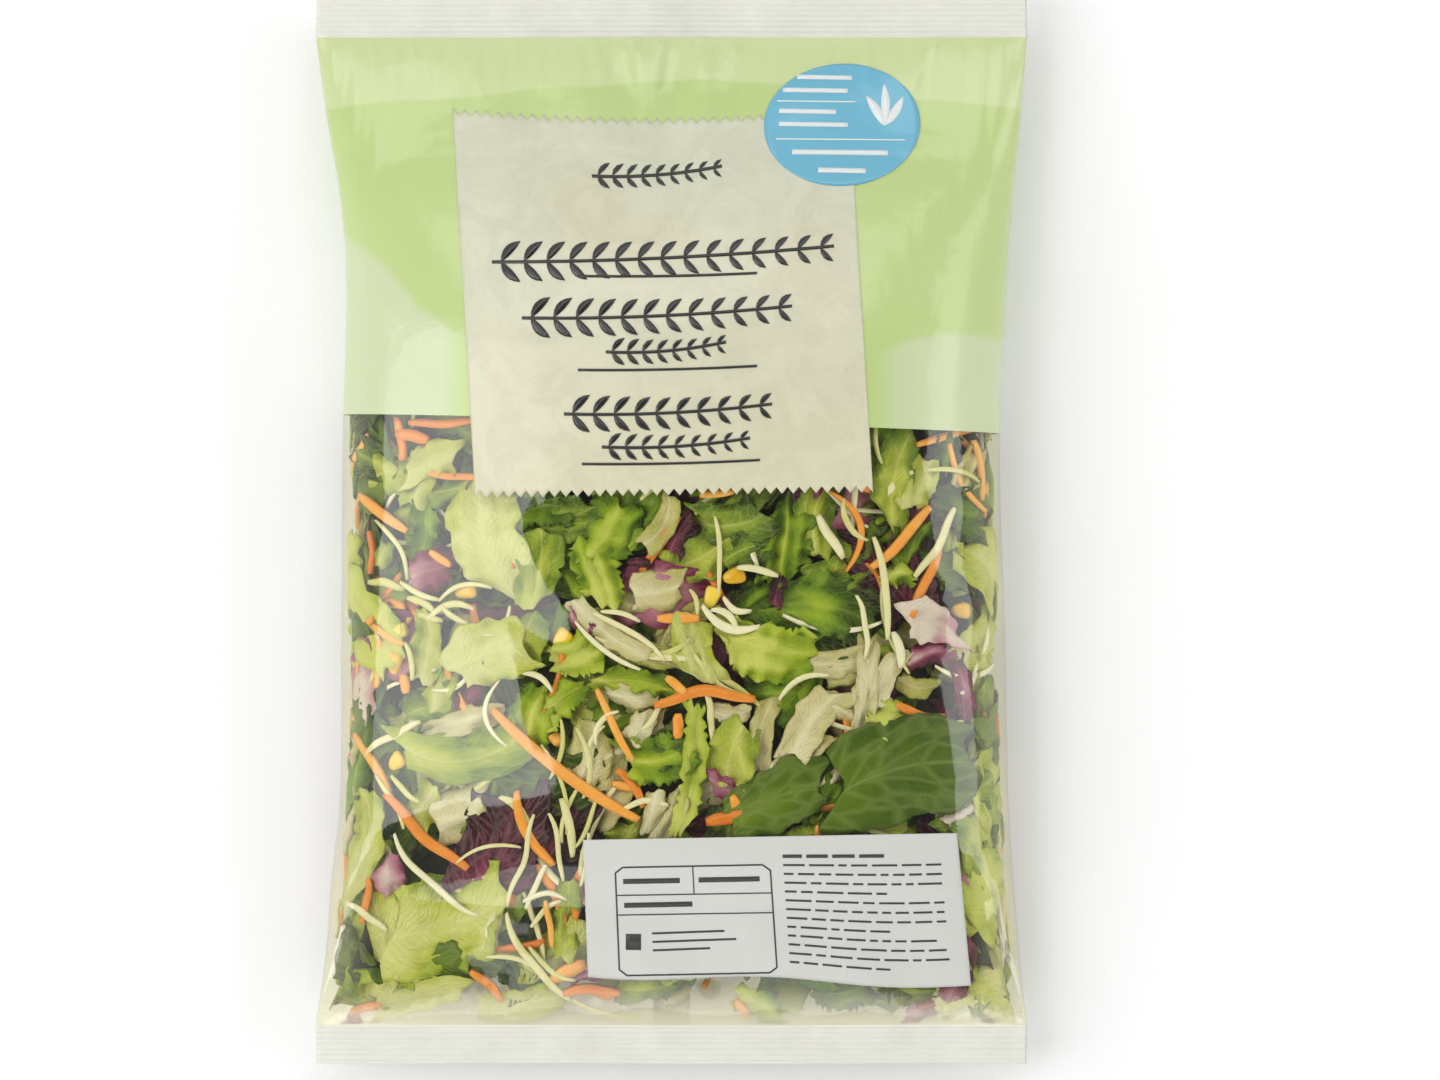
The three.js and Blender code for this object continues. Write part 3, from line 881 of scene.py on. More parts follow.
# Narrow pieces: (pixel x, pixel y at one end, the same at the other, bow to the left, width, depth).
SHREDS = (
    (371, 520, 404, 580, 3, 1.5, 1.6), (397, 582, 437, 600, -1, 1.8, 1.6),
    (363, 582, 400, 590, 1, 2.6, 2.0), (737, 568, 779, 576, 0.6, 2.3, 1.2),
    (702, 606, 760, 627, -4, 3.0, 1.4), (845, 499, 869, 541, -3, 2.0, 1.4),
    (875, 537, 890, 640, 1.5, 2.4, 1.1), (958, 508, 918, 578, 1, 2.6, 1.2),
    (820, 516, 845, 559, 0, 3.0, 2.2), (402, 643, 409, 681, 1, 1.7, 1.6),
    (362, 754, 418, 723, 1, 2.3, 1.4), (498, 681, 505, 747, -6, 1.5, 1.2),
    (392, 835, 479, 917, -4, 2.0, 1.2), (560, 800, 572, 860, 1, 2.8, 1.4),
    (548, 815, 562, 885, 1, 1.7, 1.6), (596, 800, 574, 850, 1, 1.5, 1.6),
    (533, 816, 506, 909, 1, 1.8, 1.5), (506, 916, 572, 1003, -4, 2.4, 1.4),
    (895, 632, 903, 668, 1, 3.0, 1.5), (515, 672, 552, 692, 2, 2.0, 2.0),
    (525, 912, 545, 868, 0, 1.8, 1.8), (522, 905, 566, 903, 2, 1.5, 1.8),
    (437, 601, 490, 588, 3, 1.6, 1.6), (415, 615, 440, 622, 0, 2.0, 1.8),
    (372, 775, 402, 830, 1, 1.6, 1.6), (345, 905, 385, 935, 1, 2.2, 1.6),
    (690, 590, 697, 615, 1, 1.6, 2.0), (640, 655, 690, 640, -2, 1.8, 3.0),
    (600, 612, 640, 622, 1, 1.6, 2.0), (595, 745, 618, 712, 3, 1.8, 1.6),
    (620, 812, 668, 806, 2, 2.0, 1.8), (705, 690, 712, 745, 1, 2.2, 2.4),
    (560, 720, 548, 780, 2, 1.5, 2.4), (572, 1003, 640, 1022, -2, 1.5, 1.6),
    (850, 830, 900, 845, 1, 1.5, 3.0), (455, 865, 520, 850, 3, 1.2, 1.4),
)
# Thin shreds in clusters, laid after the filling.
FINE_SHREDS = (
    (711, 610, 738, 630, 2, 2.4, 1.8), (724, 598, 752, 612, -2, 2.2, 2.0),
    (574, 622, 640, 670, -2, 1.6, 1.6), (592, 614, 664, 662, 2, 1.8, 2.0),
    (576, 728, 583, 800, 3, 1.8, 1.8), (604, 726, 590, 774, -3, 1.6, 2.0),
    (425, 620, 472, 609, 3, 2.2, 1.6), (440, 606, 464, 624, -1, 1.8, 1.8),
    (404, 598, 432, 613, 1, 2.4, 2.0), (498, 798, 528, 832, 2, 2.8, 2.0),
    (578, 788, 562, 846, -2, 1.5, 1.8), (588, 836, 580, 890, 1, 1.8, 1.8),
    (388, 776, 417, 802, -1, 1.8, 1.4), (540, 745, 566, 836, 3, 1.3, 1.6),
    (530, 930, 560, 905, 1, 1.6, 2.0), (528, 950, 575, 985, -2, 1.6, 1.8),
    (662, 700, 640, 732, 1, 1.8, 2.6), (780, 700, 830, 676, 3, 1.8, 1.4),
    (858, 596, 866, 660, 2, 1.8, 1.8), (936, 738, 968, 722, 1, 1.5, 1.8),
    (430, 690, 470, 668, -3, 1.4, 2.0), (486, 960, 540, 976, 2, 1.4, 1.8),
    (640, 500, 676, 486, 2, 1.8, 2.0), (930, 470, 985, 482, 2, 1.6, 2.0),
)
CARROTS = (
    (392, 417, 396, 460, 0.6, 2.8, 2.4), (392, 433, 424, 441, 0.3, 3.8, 1.8),
    (405, 423, 474, 420, -0.6, 2.8, 2.0), (353, 495, 402, 531, 0, 3.2, 1.8),
    (427, 552, 448, 566, 0, 2.4, 1.5), (363, 531, 364, 574, 0.6, 2.2, 2.2),
    (657, 619, 699, 619, 0, 3.2, 1.6), (830, 491, 848, 572, 8, 2.0, 1.5),
    (933, 507, 873, 568, 1, 3.2, 1.6), (944, 540, 914, 618, 0.6, 3.0, 1.8),
    (369, 626, 400, 645, -0.6, 2.3, 1.6), (374, 640, 371, 688, 0, 2.3, 2.0),
    (399, 675, 403, 694, 0, 3.0, 1.8), (348, 734, 385, 797, 1.4, 2.8, 1.8),
    (491, 710, 638, 822, -2.4, 3.8, 1.3), (381, 794, 465, 873, -1, 3.3, 1.5),
    (515, 792, 552, 869, -3, 3.2, 1.4), (654, 706, 756, 700, 3.4, 3.8, 1.3),
    (666, 678, 686, 693, 0, 3.0, 1.7), (596, 690, 633, 761, -0.6, 2.4, 1.4),
    (678, 714, 678, 739, 0, 3.6, 1.8), (898, 705, 947, 718, -1.4, 3.2, 1.4),
    (706, 824, 748, 816, 0, 4.2, 2.0), (732, 796, 742, 838, 0.6, 3.4, 2.6),
    (349, 1017, 381, 1009, 0.6, 2.6, 1.5), (551, 984, 586, 968, 0, 4.4, 2.0),
    (563, 998, 619, 997, 0.8, 3.0, 2.0), (470, 975, 502, 1005, 0.8, 2.6, 2.0),
    (365, 880, 358, 925, 0.8, 2.4, 2.0), (980, 440, 990, 500, 2, 2.2, 2.0),
    (545, 905, 552, 950, 0, 2.0, 2.0), (710, 575, 722, 598, 0, 2.4, 5.0),
    (612, 786, 636, 790, 0, 3.0, 4.0), (735, 1005, 748, 1022, 0, 2.6, 2.0),
    (550, 735, 560, 745, 0, 4.0, 4.5), (760, 664, 778, 668, 0, 3.0, 5.0),
    (590, 995, 612, 1003, 0, 3.4, 2.4), (700, 495, 735, 492, 0, 2.8, 3.0),
)

# Corn kernels: (pixel x, pixel y, turn in degrees).
CORN = ((735, 577, 15), (712, 598, 70), (392, 633, 20), (388, 664, 80), (390, 762, 40), (969, 611, 0),
        (462, 592, 10), (560, 640, 50), (650, 870, 30), (820, 470, 10))
CORN_SIZE = (7.6, 6.6, 4.6)
CORN_DEPTH = 2.6
# How round a kernel is, from 0 a block to 1 a ball, how much it tapers, and its crown's dimple.
KERNEL_ROUNDNESS = 0.72
KERNEL_TAPER = 0.22
DIMPLE_WIDTH, DIMPLE_DEPTH = 0.12, 0.12
# Kernels by rule at the sides and the back: count and depth.
HIDDEN_CORN, HIDDEN_CORN_DEPTH = 26, 3.4

# Loose pieces by rule, which fill behind and around those: share of each kind in the two mixes.
FRONT_MIX = (("lettuce", 0.16), ("endive", 0.34), ("ribs", 0.12), ("red", 0.15), ("dark", 0.23))
BACK_MIX = (("lettuce", 0.34), ("endive", 0.24), ("ribs", 0.18), ("red", 0.10), ("dark", 0.14))
FILL_LOW, FILL_HIGH = 29, 236
# The packed middle, painted near black as shade deep inside the bag: where it starts along the bag, how
# uneven it is, and its tint.
CORE_LOW = 32
CORE_UNEVENNESS = 0.5
CORE_TINT = 0.4
FRONT_REACH = 112
# Layers of them: (depth under the film, count).
FRONT_LAYERS = ((5.0, 60), (8.5, 75), (13.0, 90))
BACK_LAYERS = ((2.2, 190), (6.0, 150))
# Their lengths, their widths as shares of those, and how far they stray from their layer's depth.
FILL_LENGTHS, FILL_WIDTHS = (20, 38), (0.45, 0.85)
RIB_SLIMNESS = 0.5
DEPTH_STRAY = 1.2
FILL_SEED = 11

# How a kind of leaf is cut and crumpled: tooth, ruffle, crumple and pleat heights in millimetres, cup
# as a share of the width, slope of its fold, blunt ends from 0 square to 1 pointed, and its mesh
# divisions across and along.
LeafStyle = namedtuple("LeafStyle", "teeth ruffle crumple pleat cup fold blunt across along")
STYLES = {
    "lettuce": LeafStyle(0.5, 1.7, 1.3, 1.1, 0.08, 0.45, 0.08, 18, 24),
    "endive": LeafStyle(1.8, 2.4, 1.3, 1.7, 0.10, 0.55, 0.12, 20, 32),
    "dark": LeafStyle(0.8, 1.0, 0.9, 0.3, 0.05, 0.16, 0.05, 20, 26),
    "ribs": LeafStyle(0.3, 1.0, 0.9, 1.1, 0.16, 0.40, 0.06, 12, 20),
    "red": LeafStyle(0.5, 1.6, 1.2, 1.1, 0.20, 0.50, 0.10, 16, 20),
}
# The most that a piece's relief goes up or down from its plane.
RELIEF_LIMIT = 2.3
# Lengths of a leaf's ruffles, crumples and pleats, in millimetres.
RUFFLE_LENGTHS = 6, 10
SMALL_CRUMPLES, LARGE_CRUMPLES = 10, 23
PLEAT_LENGTHS = 4.5, 8.5
# The most that a leaf bends and twists, as a share of its length and of its width.
BEND, TWIST = 0.05, 0.08
# The most that a leaf's outline sweeps aside and slants, as the same shares.
SWEEP, SLANT = 0.16, 0.3
# The most that a strip sways from side to side, as a share of its length.
SWAY = 0.02
# A leaf cups and folds outwards twice as often as inwards.
WAYS = -1, 1, 1
# A wave starts anywhere in a whole turn, in radians.
TURN = 6.3
# Share of its own depth that a piece keeps from the film, and how sharply it is held there.
KEPT_DEPTH = 0.55
HOLD = 1.6
# How far along the bag the salad reaches.
SALAD_LOW, SALAD_HIGH = SEAL_HEIGHT + 0.5, BAG_LENGTH - SEAL_HEIGHT - 1


def ripple(rng, x, y, wave):
    """Smooth unevenness from -1 to 1 with waves of about that length."""
    total = 0
    for _ in range(4):
        angle = rng.uniform(0, 2 * math.pi)
        k = 2 * math.pi / (wave * rng.uniform(0.7, 1.5))
        total = total + np.sin(k * (x * math.cos(angle) + y * math.sin(angle)) + rng.uniform(0, TURN))
    return total / 4


def zigzag(p):
    """A wave of straight slopes from -1 to 1, one for each whole number."""
    return 4 * np.abs(p % 1 - 0.5) - 1


def cut_side(rng, t):
    """Width along one side of a cut leaf, in straight runs between a few corners."""
    corners = sorted(rng.uniform(0.12, 0.88) for _ in range(3))
    widths = [rng.uniform(0.78, 1.18) for _ in corners]
    ends = rng.uniform(0.6, 1.15), rng.uniform(0.6, 1.15)
    wavy = 0.05 * np.sin(2 * np.pi * (t * rng.uniform(2.0, 3.6) + rng.random()))
    return np.interp(t, [0, *corners, 1], [ends[0], *widths, ends[1]]) + wavy


def set_inside(verts, a, s, depth, below):
    """Puts the vertices under the skin, clear of the film, of shallower pieces and of the seals."""
    nearest = SALAD_CLEARANCE + KEPT_DEPTH * depth
    below = nearest + np.logaddexp(0, (below - nearest) * HOLD) / HOLD
    write_points(verts, skin.inside(a, np.clip(s, SALAD_LOW, SALAD_HIGH), below))


def leaf_relief(style, p, q, c, t, length, width, rng):
    """How far a leaf's cup, ruffles, crumples, pleats and fold stand off its plane."""
    end = np.abs(2 * t - 1)
    lift = style.cup * width * c * c * rng.choice(WAYS)
    lift = lift + rng.uniform(-BEND, BEND) * length * end ** 2
    lift = lift + rng.uniform(-TWIST, TWIST) * width * c * (2 * t - 1)
    phase = 2 * np.pi * t * length / rng.uniform(*RUFFLE_LENGTHS) + np.sign(c) * rng.uniform(0.5, 2.5)
    lift = lift + style.ruffle * np.abs(c) ** 2.2 * np.sin(phase + rng.uniform(0, TURN))
    crumpled = ripple(rng, p, q, SMALL_CRUMPLES) + 1.4 * ripple(rng, p, q, LARGE_CRUMPLES)
    lift = lift + style.crumple * crumpled
    wander = 0.3 * ripple(rng, p, q, 24) + rng.uniform(-0.6, 0.6) * t
    lift = lift + style.pleat * zigzag(q / rng.uniform(*PLEAT_LENGTHS) + wander + rng.random())
    way = rng.uniform(0, math.pi)
    off = p * math.cos(way) + q * math.sin(way) - rng.uniform(-0.2, 0.2) * width
    steep = rng.choice(WAYS) * rng.uniform(0.4, 1) * style.fold
    lift = lift - steep * (np.sqrt(off ** 2 + 1) - width / 5)
    return RELIEF_LIMIT * np.tanh(lift / RELIEF_LIMIT)


def leaf_plan(style, c, t, length, width, along_count, rng):
    """A flat leaf's places along, p, and across, q, with its cut and toothed edges."""
    end = np.abs(2 * t - 1)
    outline = np.sin(np.pi * (0.06 + 0.88 * t)) ** (style.blunt * rng.uniform(0.8, 1.25))
    outline = outline * np.where(c > 0, cut_side(rng, t), cut_side(rng, t))
    uneven = t + 0.05 * np.sin(2 * np.pi * (t * rng.uniform(1.5, 2.5) + rng.random()))
    saw = np.abs(((uneven * along_count / 4 + rng.random()) % 1) * 2 - 1) - 0.5
    saw = saw * (0.2 + 1.2 * np.abs(np.sin(2 * np.pi * t * rng.uniform(0.8, 1.8) + rng.uniform(0, TURN))))
    q = c * outline * width / 2 + np.sign(c) * np.abs(c) ** 4 * style.teeth * saw
    q = q + rng.uniform(-SWEEP, SWEEP) * length * end ** 2
    p = (t - 0.5) * length + rng.uniform(-SLANT, SLANT) * width * c * end
    p = p + end ** 6 * style.teeth * 0.6 * np.sin(9 * c + rng.uniform(0, TURN))
    p = p + end ** 4 * 0.1 * width * np.sin(3 * c + np.sign(t - 0.5) * 2 + rng.uniform(0, TURN))
    return p, q


def laid_at(spot, turn, p, q):
    """Distances round and along the skin of places on a piece that lies turned at spot."""
    return (spot[0] + p * math.cos(turn) + q * math.sin(turn),
            spot[1] + p * math.sin(turn) - q * math.cos(turn))


def add_leaf(bm, style, spot, turn, length, width, tint, depth, rng, coarse=1):
    """One cut piece of leaf under the skin at spot, bent and ruffled by its style."""
    along_count = style.along // coarse
    verts, c, t = add_grid(bm, style.across // coarse, along_count)
    c = 2 * c - 1
    p, q = leaf_plan(style, c, t, length, width, along_count, rng)
    lift = leaf_relief(style, p, q, c, t, length, width, rng)
    a, s = laid_at(spot, math.radians(turn), p, q)
    plane = depth + 0.4 * style.crumple + 0.8 * style.pleat
    set_inside(verts, a, s, depth, plane - lift)
    # The relief also goes into the colour: painted shade in the hollows, painted light on the ridges.
    set_tint(bm, verts, tint, -lift / RELIEF_LIMIT)


def add_strip(bm, start, end, bow, width, depth, tint, rng, taper):
    """One narrow strip from start to end under the skin, bowed to its left and waved."""
    dx, dy = end[0] - start[0], end[1] - start[1]
    length = math.hypot(dx, dy)
    verts, c, t = add_grid(bm, 2, max(6, round(length / 2)))
    c = 2 * c - 1
    ux, uy = dx / length, dy / length
    sway = rng.uniform(-SWAY, SWAY) * length * np.sin(2 * np.pi * t * rng.uniform(0.8, 1.6))
    side = bow * 4 * t * (1 - t) + sway - c * width / 2 * (1 - taper * np.abs(2 * t - 1) ** 3)
    a = start[0] + ux * length * t - uy * side
    s = start[1] + uy * length * t + ux * side
    twist = rng.uniform(-0.25, 0.25) + rng.uniform(-0.6, 0.6) * (t - 0.5)
    lift = np.sin(twist) * c * width / 2
    lift = lift + rng.uniform(0.2, 0.9) * np.sin(np.pi * t * rng.uniform(1, 3) + rng.uniform(0, 3))
    set_inside(verts, a, s, depth, depth - lift)
    set_tint(bm, verts, tint)


def filler_rows(rng, mix, layers, around):
    """Loose pieces by rule: (kind, spot, turn, length, width, tint, depth)."""
    kinds, shares = zip(*mix)
    rows = []
    for depth, count in layers:
        for _ in range(count):
            kind = rng.choices(kinds, shares)[0]
            spot = rng.uniform(*around), rng.uniform(FILL_LOW, FILL_HIGH)
            length = rng.uniform(*FILL_LENGTHS)
            width = length * rng.uniform(*FILL_WIDTHS) * (RIB_SLIMNESS if kind == "ribs" else 1)
            rows.append((kind, spot, rng.uniform(0, 180), length, width, rng.random(),
                         depth + rng.uniform(-DEPTH_STRAY, DEPTH_STRAY)))
    return rows


def all_fillers():
    """The fill behind the front's pieces, and the fill of the sides and the back."""
    rng = random.Random(FILL_SEED)
    girth = float(skin.girth.mean())
    front = filler_rows(rng, FRONT_MIX, FRONT_LAYERS, (-FRONT_REACH, FRONT_REACH))
    back = filler_rows(rng, BACK_MIX, BACK_LAYERS, (FRONT_REACH - 10, girth - FRONT_REACH + 10))
    return [(row, True) for row in front] + [(row, False) for row in back]


# The kinds of leaf: name of the piece, style, rows, slot, name of its wall's size, seed, name of its
# material and its look.
LeafKind = namedtuple("LeafKind", "piece style rows slot wall seed material look")
LEAF_KINDS = (
    LeafKind("lettuce", "lettuce", LETTUCE, "lettuce", "leaf_wall", 21, "lettuce", LeafLook(
        ((0.0, srgb(224, 228, 150)), (0.3, srgb(200, 208, 80)), (0.55, srgb(150, 174, 32)),
         (0.78, srgb(98, 132, 16)), (1.0, srgb(48, 76, 6))),
        srgb(230, 232, 176), 0.35, 0.05)),
    LeafKind("endive", "endive", ENDIVE, "endive", "leaf_wall", 22, "endive", LeafLook(
        ((0.0, srgb(216, 222, 116)), (0.3, srgb(174, 196, 48)), (0.55, srgb(122, 156, 26)),
         (0.8, srgb(72, 108, 16)), (1.0, srgb(38, 62, 8))),
        srgb(204, 216, 120), 0.22, 0.06, gloss=0.33)),
    LeafKind("dark_leaves", "dark", DARK_LEAVES, "lettuce", "leaf_wall", 23, "dark_leaf", LeafLook(
        ((0.0, srgb(112, 138, 36)), (0.5, srgb(74, 102, 22)), (1.0, srgb(40, 60, 12))),
        srgb(150, 166, 92), 0.55, 0.03, gloss=0.3, cells=4.5, lines=0.0, net_width=0.2)),
    LeafKind("ribs", "ribs", RIBS, "cabbage", "rib_wall", 24, "rib", LeafLook(
        ((0.0, srgb(234, 228, 196)), (0.4, srgb(216, 206, 152)), (0.8, srgb(190, 188, 98)),
         (1.0, srgb(164, 174, 66))),
        srgb(240, 236, 212), 0.3, 0.10, gloss=0.3, glow=0.12, cells=5.0)),
    LeafKind("red_leaves", "red", RED_LEAVES, "radicchio", "leaf_wall", 25, "radicchio", LeafLook(
        ((0.0, srgb(234, 222, 216)), (0.25, srgb(198, 136, 160)), (0.5, srgb(136, 46, 86)),
         (0.75, srgb(86, 20, 50)), (1.0, srgb(42, 8, 22))),
        srgb(214, 180, 192), 0.2, 0.05, gloss=0.3, glow=0.12, cells=5.0)),
)

# The kinds of strip: name of the piece, rows, rows laid after the filling, slot, name of its wall's size,
# seed, taper of its ends, how many by rule and how wide they are, name of its material, colours, scale
# of its blotches and gloss.
StripKind = namedtuple("StripKind", "piece rows late_rows slot wall seed taper fill_count fill_width "
                                    "material stops grain gloss")
STRIP_KINDS = (
    StripKind("shreds", SHREDS, FINE_SHREDS, "cabbage", "shred_wall", 26, 0.5, 120, (1.2, 2.6), "shred",
              ((0.0, srgb(240, 236, 210)), (0.6, srgb(228, 222, 176)), (1.0, srgb(208, 208, 132))), 300, 0.3),
    StripKind("carrots", CARROTS, (), "carrot", "carrot_wall", 27, 0.45, 90, (2.0, 3.4), "carrot",
              ((0.0, srgb(248, 186, 92)), (0.5, srgb(240, 154, 58)), (1.0, srgb(220, 122, 34))), 260, 0.35),
)
# Strips laid by rule: their lengths, how far they bow, and their depths at the front and elsewhere.
STRIP_LENGTHS, STRIP_BOW = (12, 34), 4
FRONT_STRIP_DEPTHS, BACK_STRIP_DEPTHS = (2.6, 8), (1.2, 4)
# Painted shade on the pieces behind the front ones, as if the front ones shaded them: the share of the
# tint that such a piece keeps, over the least tint there.
BEHIND_TINT, LEAST_SHADED_TINT_BEHIND = 0.62, 0.28


def leaf_piece(kind, wall):
    """All the pieces of one kind of leaf, joined."""
    rng = random.Random(kind.seed)
    style = STYLES[kind.style]
    bm = start_mesh()
    for x, y, turn, length, width, tint, depth in kind.rows:
        add_leaf(bm, style, spot_at(x, y), turn, length, width, tint, depth, rng)
    for (found, spot, turn, length, width, tint, depth), behind in all_fillers():
        if found == kind.style:
            # A piece behind the front ones gets painted shade: its tint moves towards the deep end of its
            # colours.
            tint = LEAST_SHADED_TINT_BEHIND + BEHIND_TINT * tint if behind else tint
            add_leaf(bm, style, spot, turn, length, width, tint, depth, rng, coarse=2)
    return finish_piece(bm, kind.piece, [leaf_material(kind.material, kind.look)], wall)


def add_strip_rows(bm, rows, taper, rng):
    """The strips of a table, which the photograph shows."""
    for x0, y0, x1, y1, bow, width, depth in rows:
        add_strip(bm, spot_at(x0, y0), spot_at(x1, y1), bow, width, depth, rng.random(), rng, taper)


def strip_piece(kind, wall):
    """All the strips of one kind, joined."""
    rng = random.Random(kind.seed)
    girth = float(skin.girth.mean())
    bm = start_mesh()
    add_strip_rows(bm, kind.rows, kind.taper, rng)
    for _ in range(kind.fill_count):
        start = rng.uniform(0, girth), rng.uniform(FILL_LOW + 6, FILL_HIGH - 6)
        on_front = start[0] < FRONT_REACH or start[0] > girth - FRONT_REACH
        angle, length = rng.uniform(0, 2 * math.pi), rng.uniform(*STRIP_LENGTHS)
        end = start[0] + length * math.cos(angle), start[1] + length * math.sin(angle)
        depth = rng.uniform(*(FRONT_STRIP_DEPTHS if on_front else BACK_STRIP_DEPTHS))
        add_strip(bm, start, end, rng.uniform(-STRIP_BOW, STRIP_BOW), rng.uniform(*kind.fill_width),
                  depth, rng.random(), rng, kind.taper)
    add_strip_rows(bm, kind.late_rows, kind.taper, rng)
    material = food_material(kind.material, kind.stops, kind.grain, kind.gloss, coat=0.2)
    return finish_piece(bm, kind.piece, [material], wall)


# Print marks


def add_mark(bm, start, end, width, lift, bow=0.0, leafy=False):
    """A flat printed stroke between two pixels, bowed to its right, even or shaped as a leaf."""
    dx, dy = end[0] - start[0], end[1] - start[1]
    length = math.hypot(dx, dy)
    verts, c, t = add_grid(bm, 2, max(3, round(length / 5)))
    c = 2 * c - 1
    half = width / 2 * (np.sin(np.pi * t) ** 0.8 + 0.04 if leafy else 1)
    side = bow * 4 * t * (1 - t) + c * half
    x = start[0] + dx * t - dy / length * side
    y = start[1] + dy * t + dx / length * side
    write_points(verts, on_film(x, y, lift))


def add_blob(bm, middle, half, lift, count=28, wobble=0.0):
    """A flat round printed shape."""
    verts, u, v = add_grid(bm, count, count)
    u, v = 2 * u - 1, 2 * v - 1
    x, y = u * np.sqrt(1 - v * v / 2), v * np.sqrt(1 - u * u / 2)
    swollen = 1 + wobble * np.sin(2 * np.arctan2(y, x) + 0.8)
    write_points(verts, on_film(middle[0] + half[0] * x * swollen, middle[1] - half[1] * y * swollen, lift))


def add_sprig(bm, start, end, leaf, count, lift):
    """A printed sprig: a stem with pairs of leaves that grow smaller to its tip."""
    dx, dy = (end[0] - start[0]) / count, (end[1] - start[1]) / count
    add_mark(bm, start, end, 3.2, lift, bow=4)
    for i in range(count):
        x, y = start[0] + dx * (i + 0.4), start[1] + dy * (i + 0.4) + 4 * math.sin(math.pi * i / count)
        size = leaf * (1 - 0.35 * i / count)
        for up in (-1, 1):
            tip = x + 0.8 * size, y + up * size * 0.85
            add_mark(bm, (x, y), tip, size * 0.36, lift, bow=up * size * 0.1, leafy=True)


# Operators


class SaladBagSizes(bpy.types.PropertyGroup):
    """Sizes of the bag's thin layers and of the cut salad."""

    print_wall: bpy.props.FloatProperty(
        name="Print wall", description="Thickness of a printed layer", default=0.00008, unit="LENGTH")
    label_wall: bpy.props.FloatProperty(
        name="Label wall", description="Thickness of the price label", default=0.0002, unit="LENGTH")
    seam_wall: bpy.props.FloatProperty(
        name="Seam wall", description="Thickness of the back seam", default=0.0002, unit="LENGTH")
    leaf_wall: bpy.props.FloatProperty(
        name="Leaf wall", description="Thickness of a thin leaf", default=0.0004, unit="LENGTH")
    rib_wall: bpy.props.FloatProperty(
        name="Rib wall", description="Thickness of a leaf rib", default=0.0013, unit="LENGTH")
    shred_wall: bpy.props.FloatProperty(
        name="Shred wall", description="Thickness of a cabbage shred", default=0.0009, unit="LENGTH")
    carrot_wall: bpy.props.FloatProperty(
        name="Carrot wall", description="Thickness of a carrot strip", default=0.0018, unit="LENGTH")
    core_depth: bpy.props.FloatProperty(
        name="Core depth", description="How far the packed middle lies under the film",
        default=0.0135, unit="LENGTH")


class SaladBagColours(bpy.types.PropertyGroup):
    """Colours of the print, the label and the floor."""

    badge: bpy.props.FloatVectorProperty(
        name="Badge", description="Sky blue of the round print", subtype="COLOR", size=4,
        default=srgb(112, 190, 218))
    label: bpy.props.FloatVectorProperty(
        name="Label", description="White of the price label", subtype="COLOR", size=4,
        default=srgb(222, 223, 216))
    ink: bpy.props.FloatVectorProperty(
        name="Ink", description="Near-black of the print", subtype="COLOR", size=4,
        default=srgb(24, 24, 18))
    floor: bpy.props.FloatVectorProperty(
        name="Floor", description="White of the floor", subtype="COLOR", size=4,
        default=(0.93, 0.93, 0.93, 1))


def film_rows():
    """Row places along the bag, with several to each rib of the seals."""
    on_seal = np.linspace(0, SEAL_HEIGHT, ROWS_PER_RIB * RIB_COUNT + 1)
    w = np.linspace(0, 1, BODY_ROWS + 1)[1:-1]
    body = SEAL_HEIGHT + (BAG_LENGTH - 2 * SEAL_HEIGHT) * (w - 0.07 * np.sin(2 * np.pi * w))
    return np.concatenate([on_seal, body, BAG_LENGTH - on_seal[::-1]])


def film_points(column, s):
    """Points of the film by column, round the front and then the back, and by s."""
    front = column <= FRONT_COLUMNS
    w = np.where(front, 2 * column / FRONT_COLUMNS - 1, 1 - 2 * (column - FRONT_COLUMNS) / BACK_COLUMNS)
    u = crowded(w)
    left, right = side_edges(s)
    x = left + (right - left) * (u + 1) / 2
    z = np.where(front, film_front(x, s), back_height(x, s))
    return np.stack([x, s - BAG_LENGTH / 2, z], -1)


def close_ends(bm):
    """Caps the open ends of a tube."""
    edges = [edge for edge in bm.edges if edge.is_boundary]
    caps = bmesh.ops.holes_fill(bm, edges=edges, sides=0)["faces"]
    bmesh.ops.triangulate(bm, faces=caps)
    bmesh.ops.recalc_face_normals(bm, faces=bm.faces)


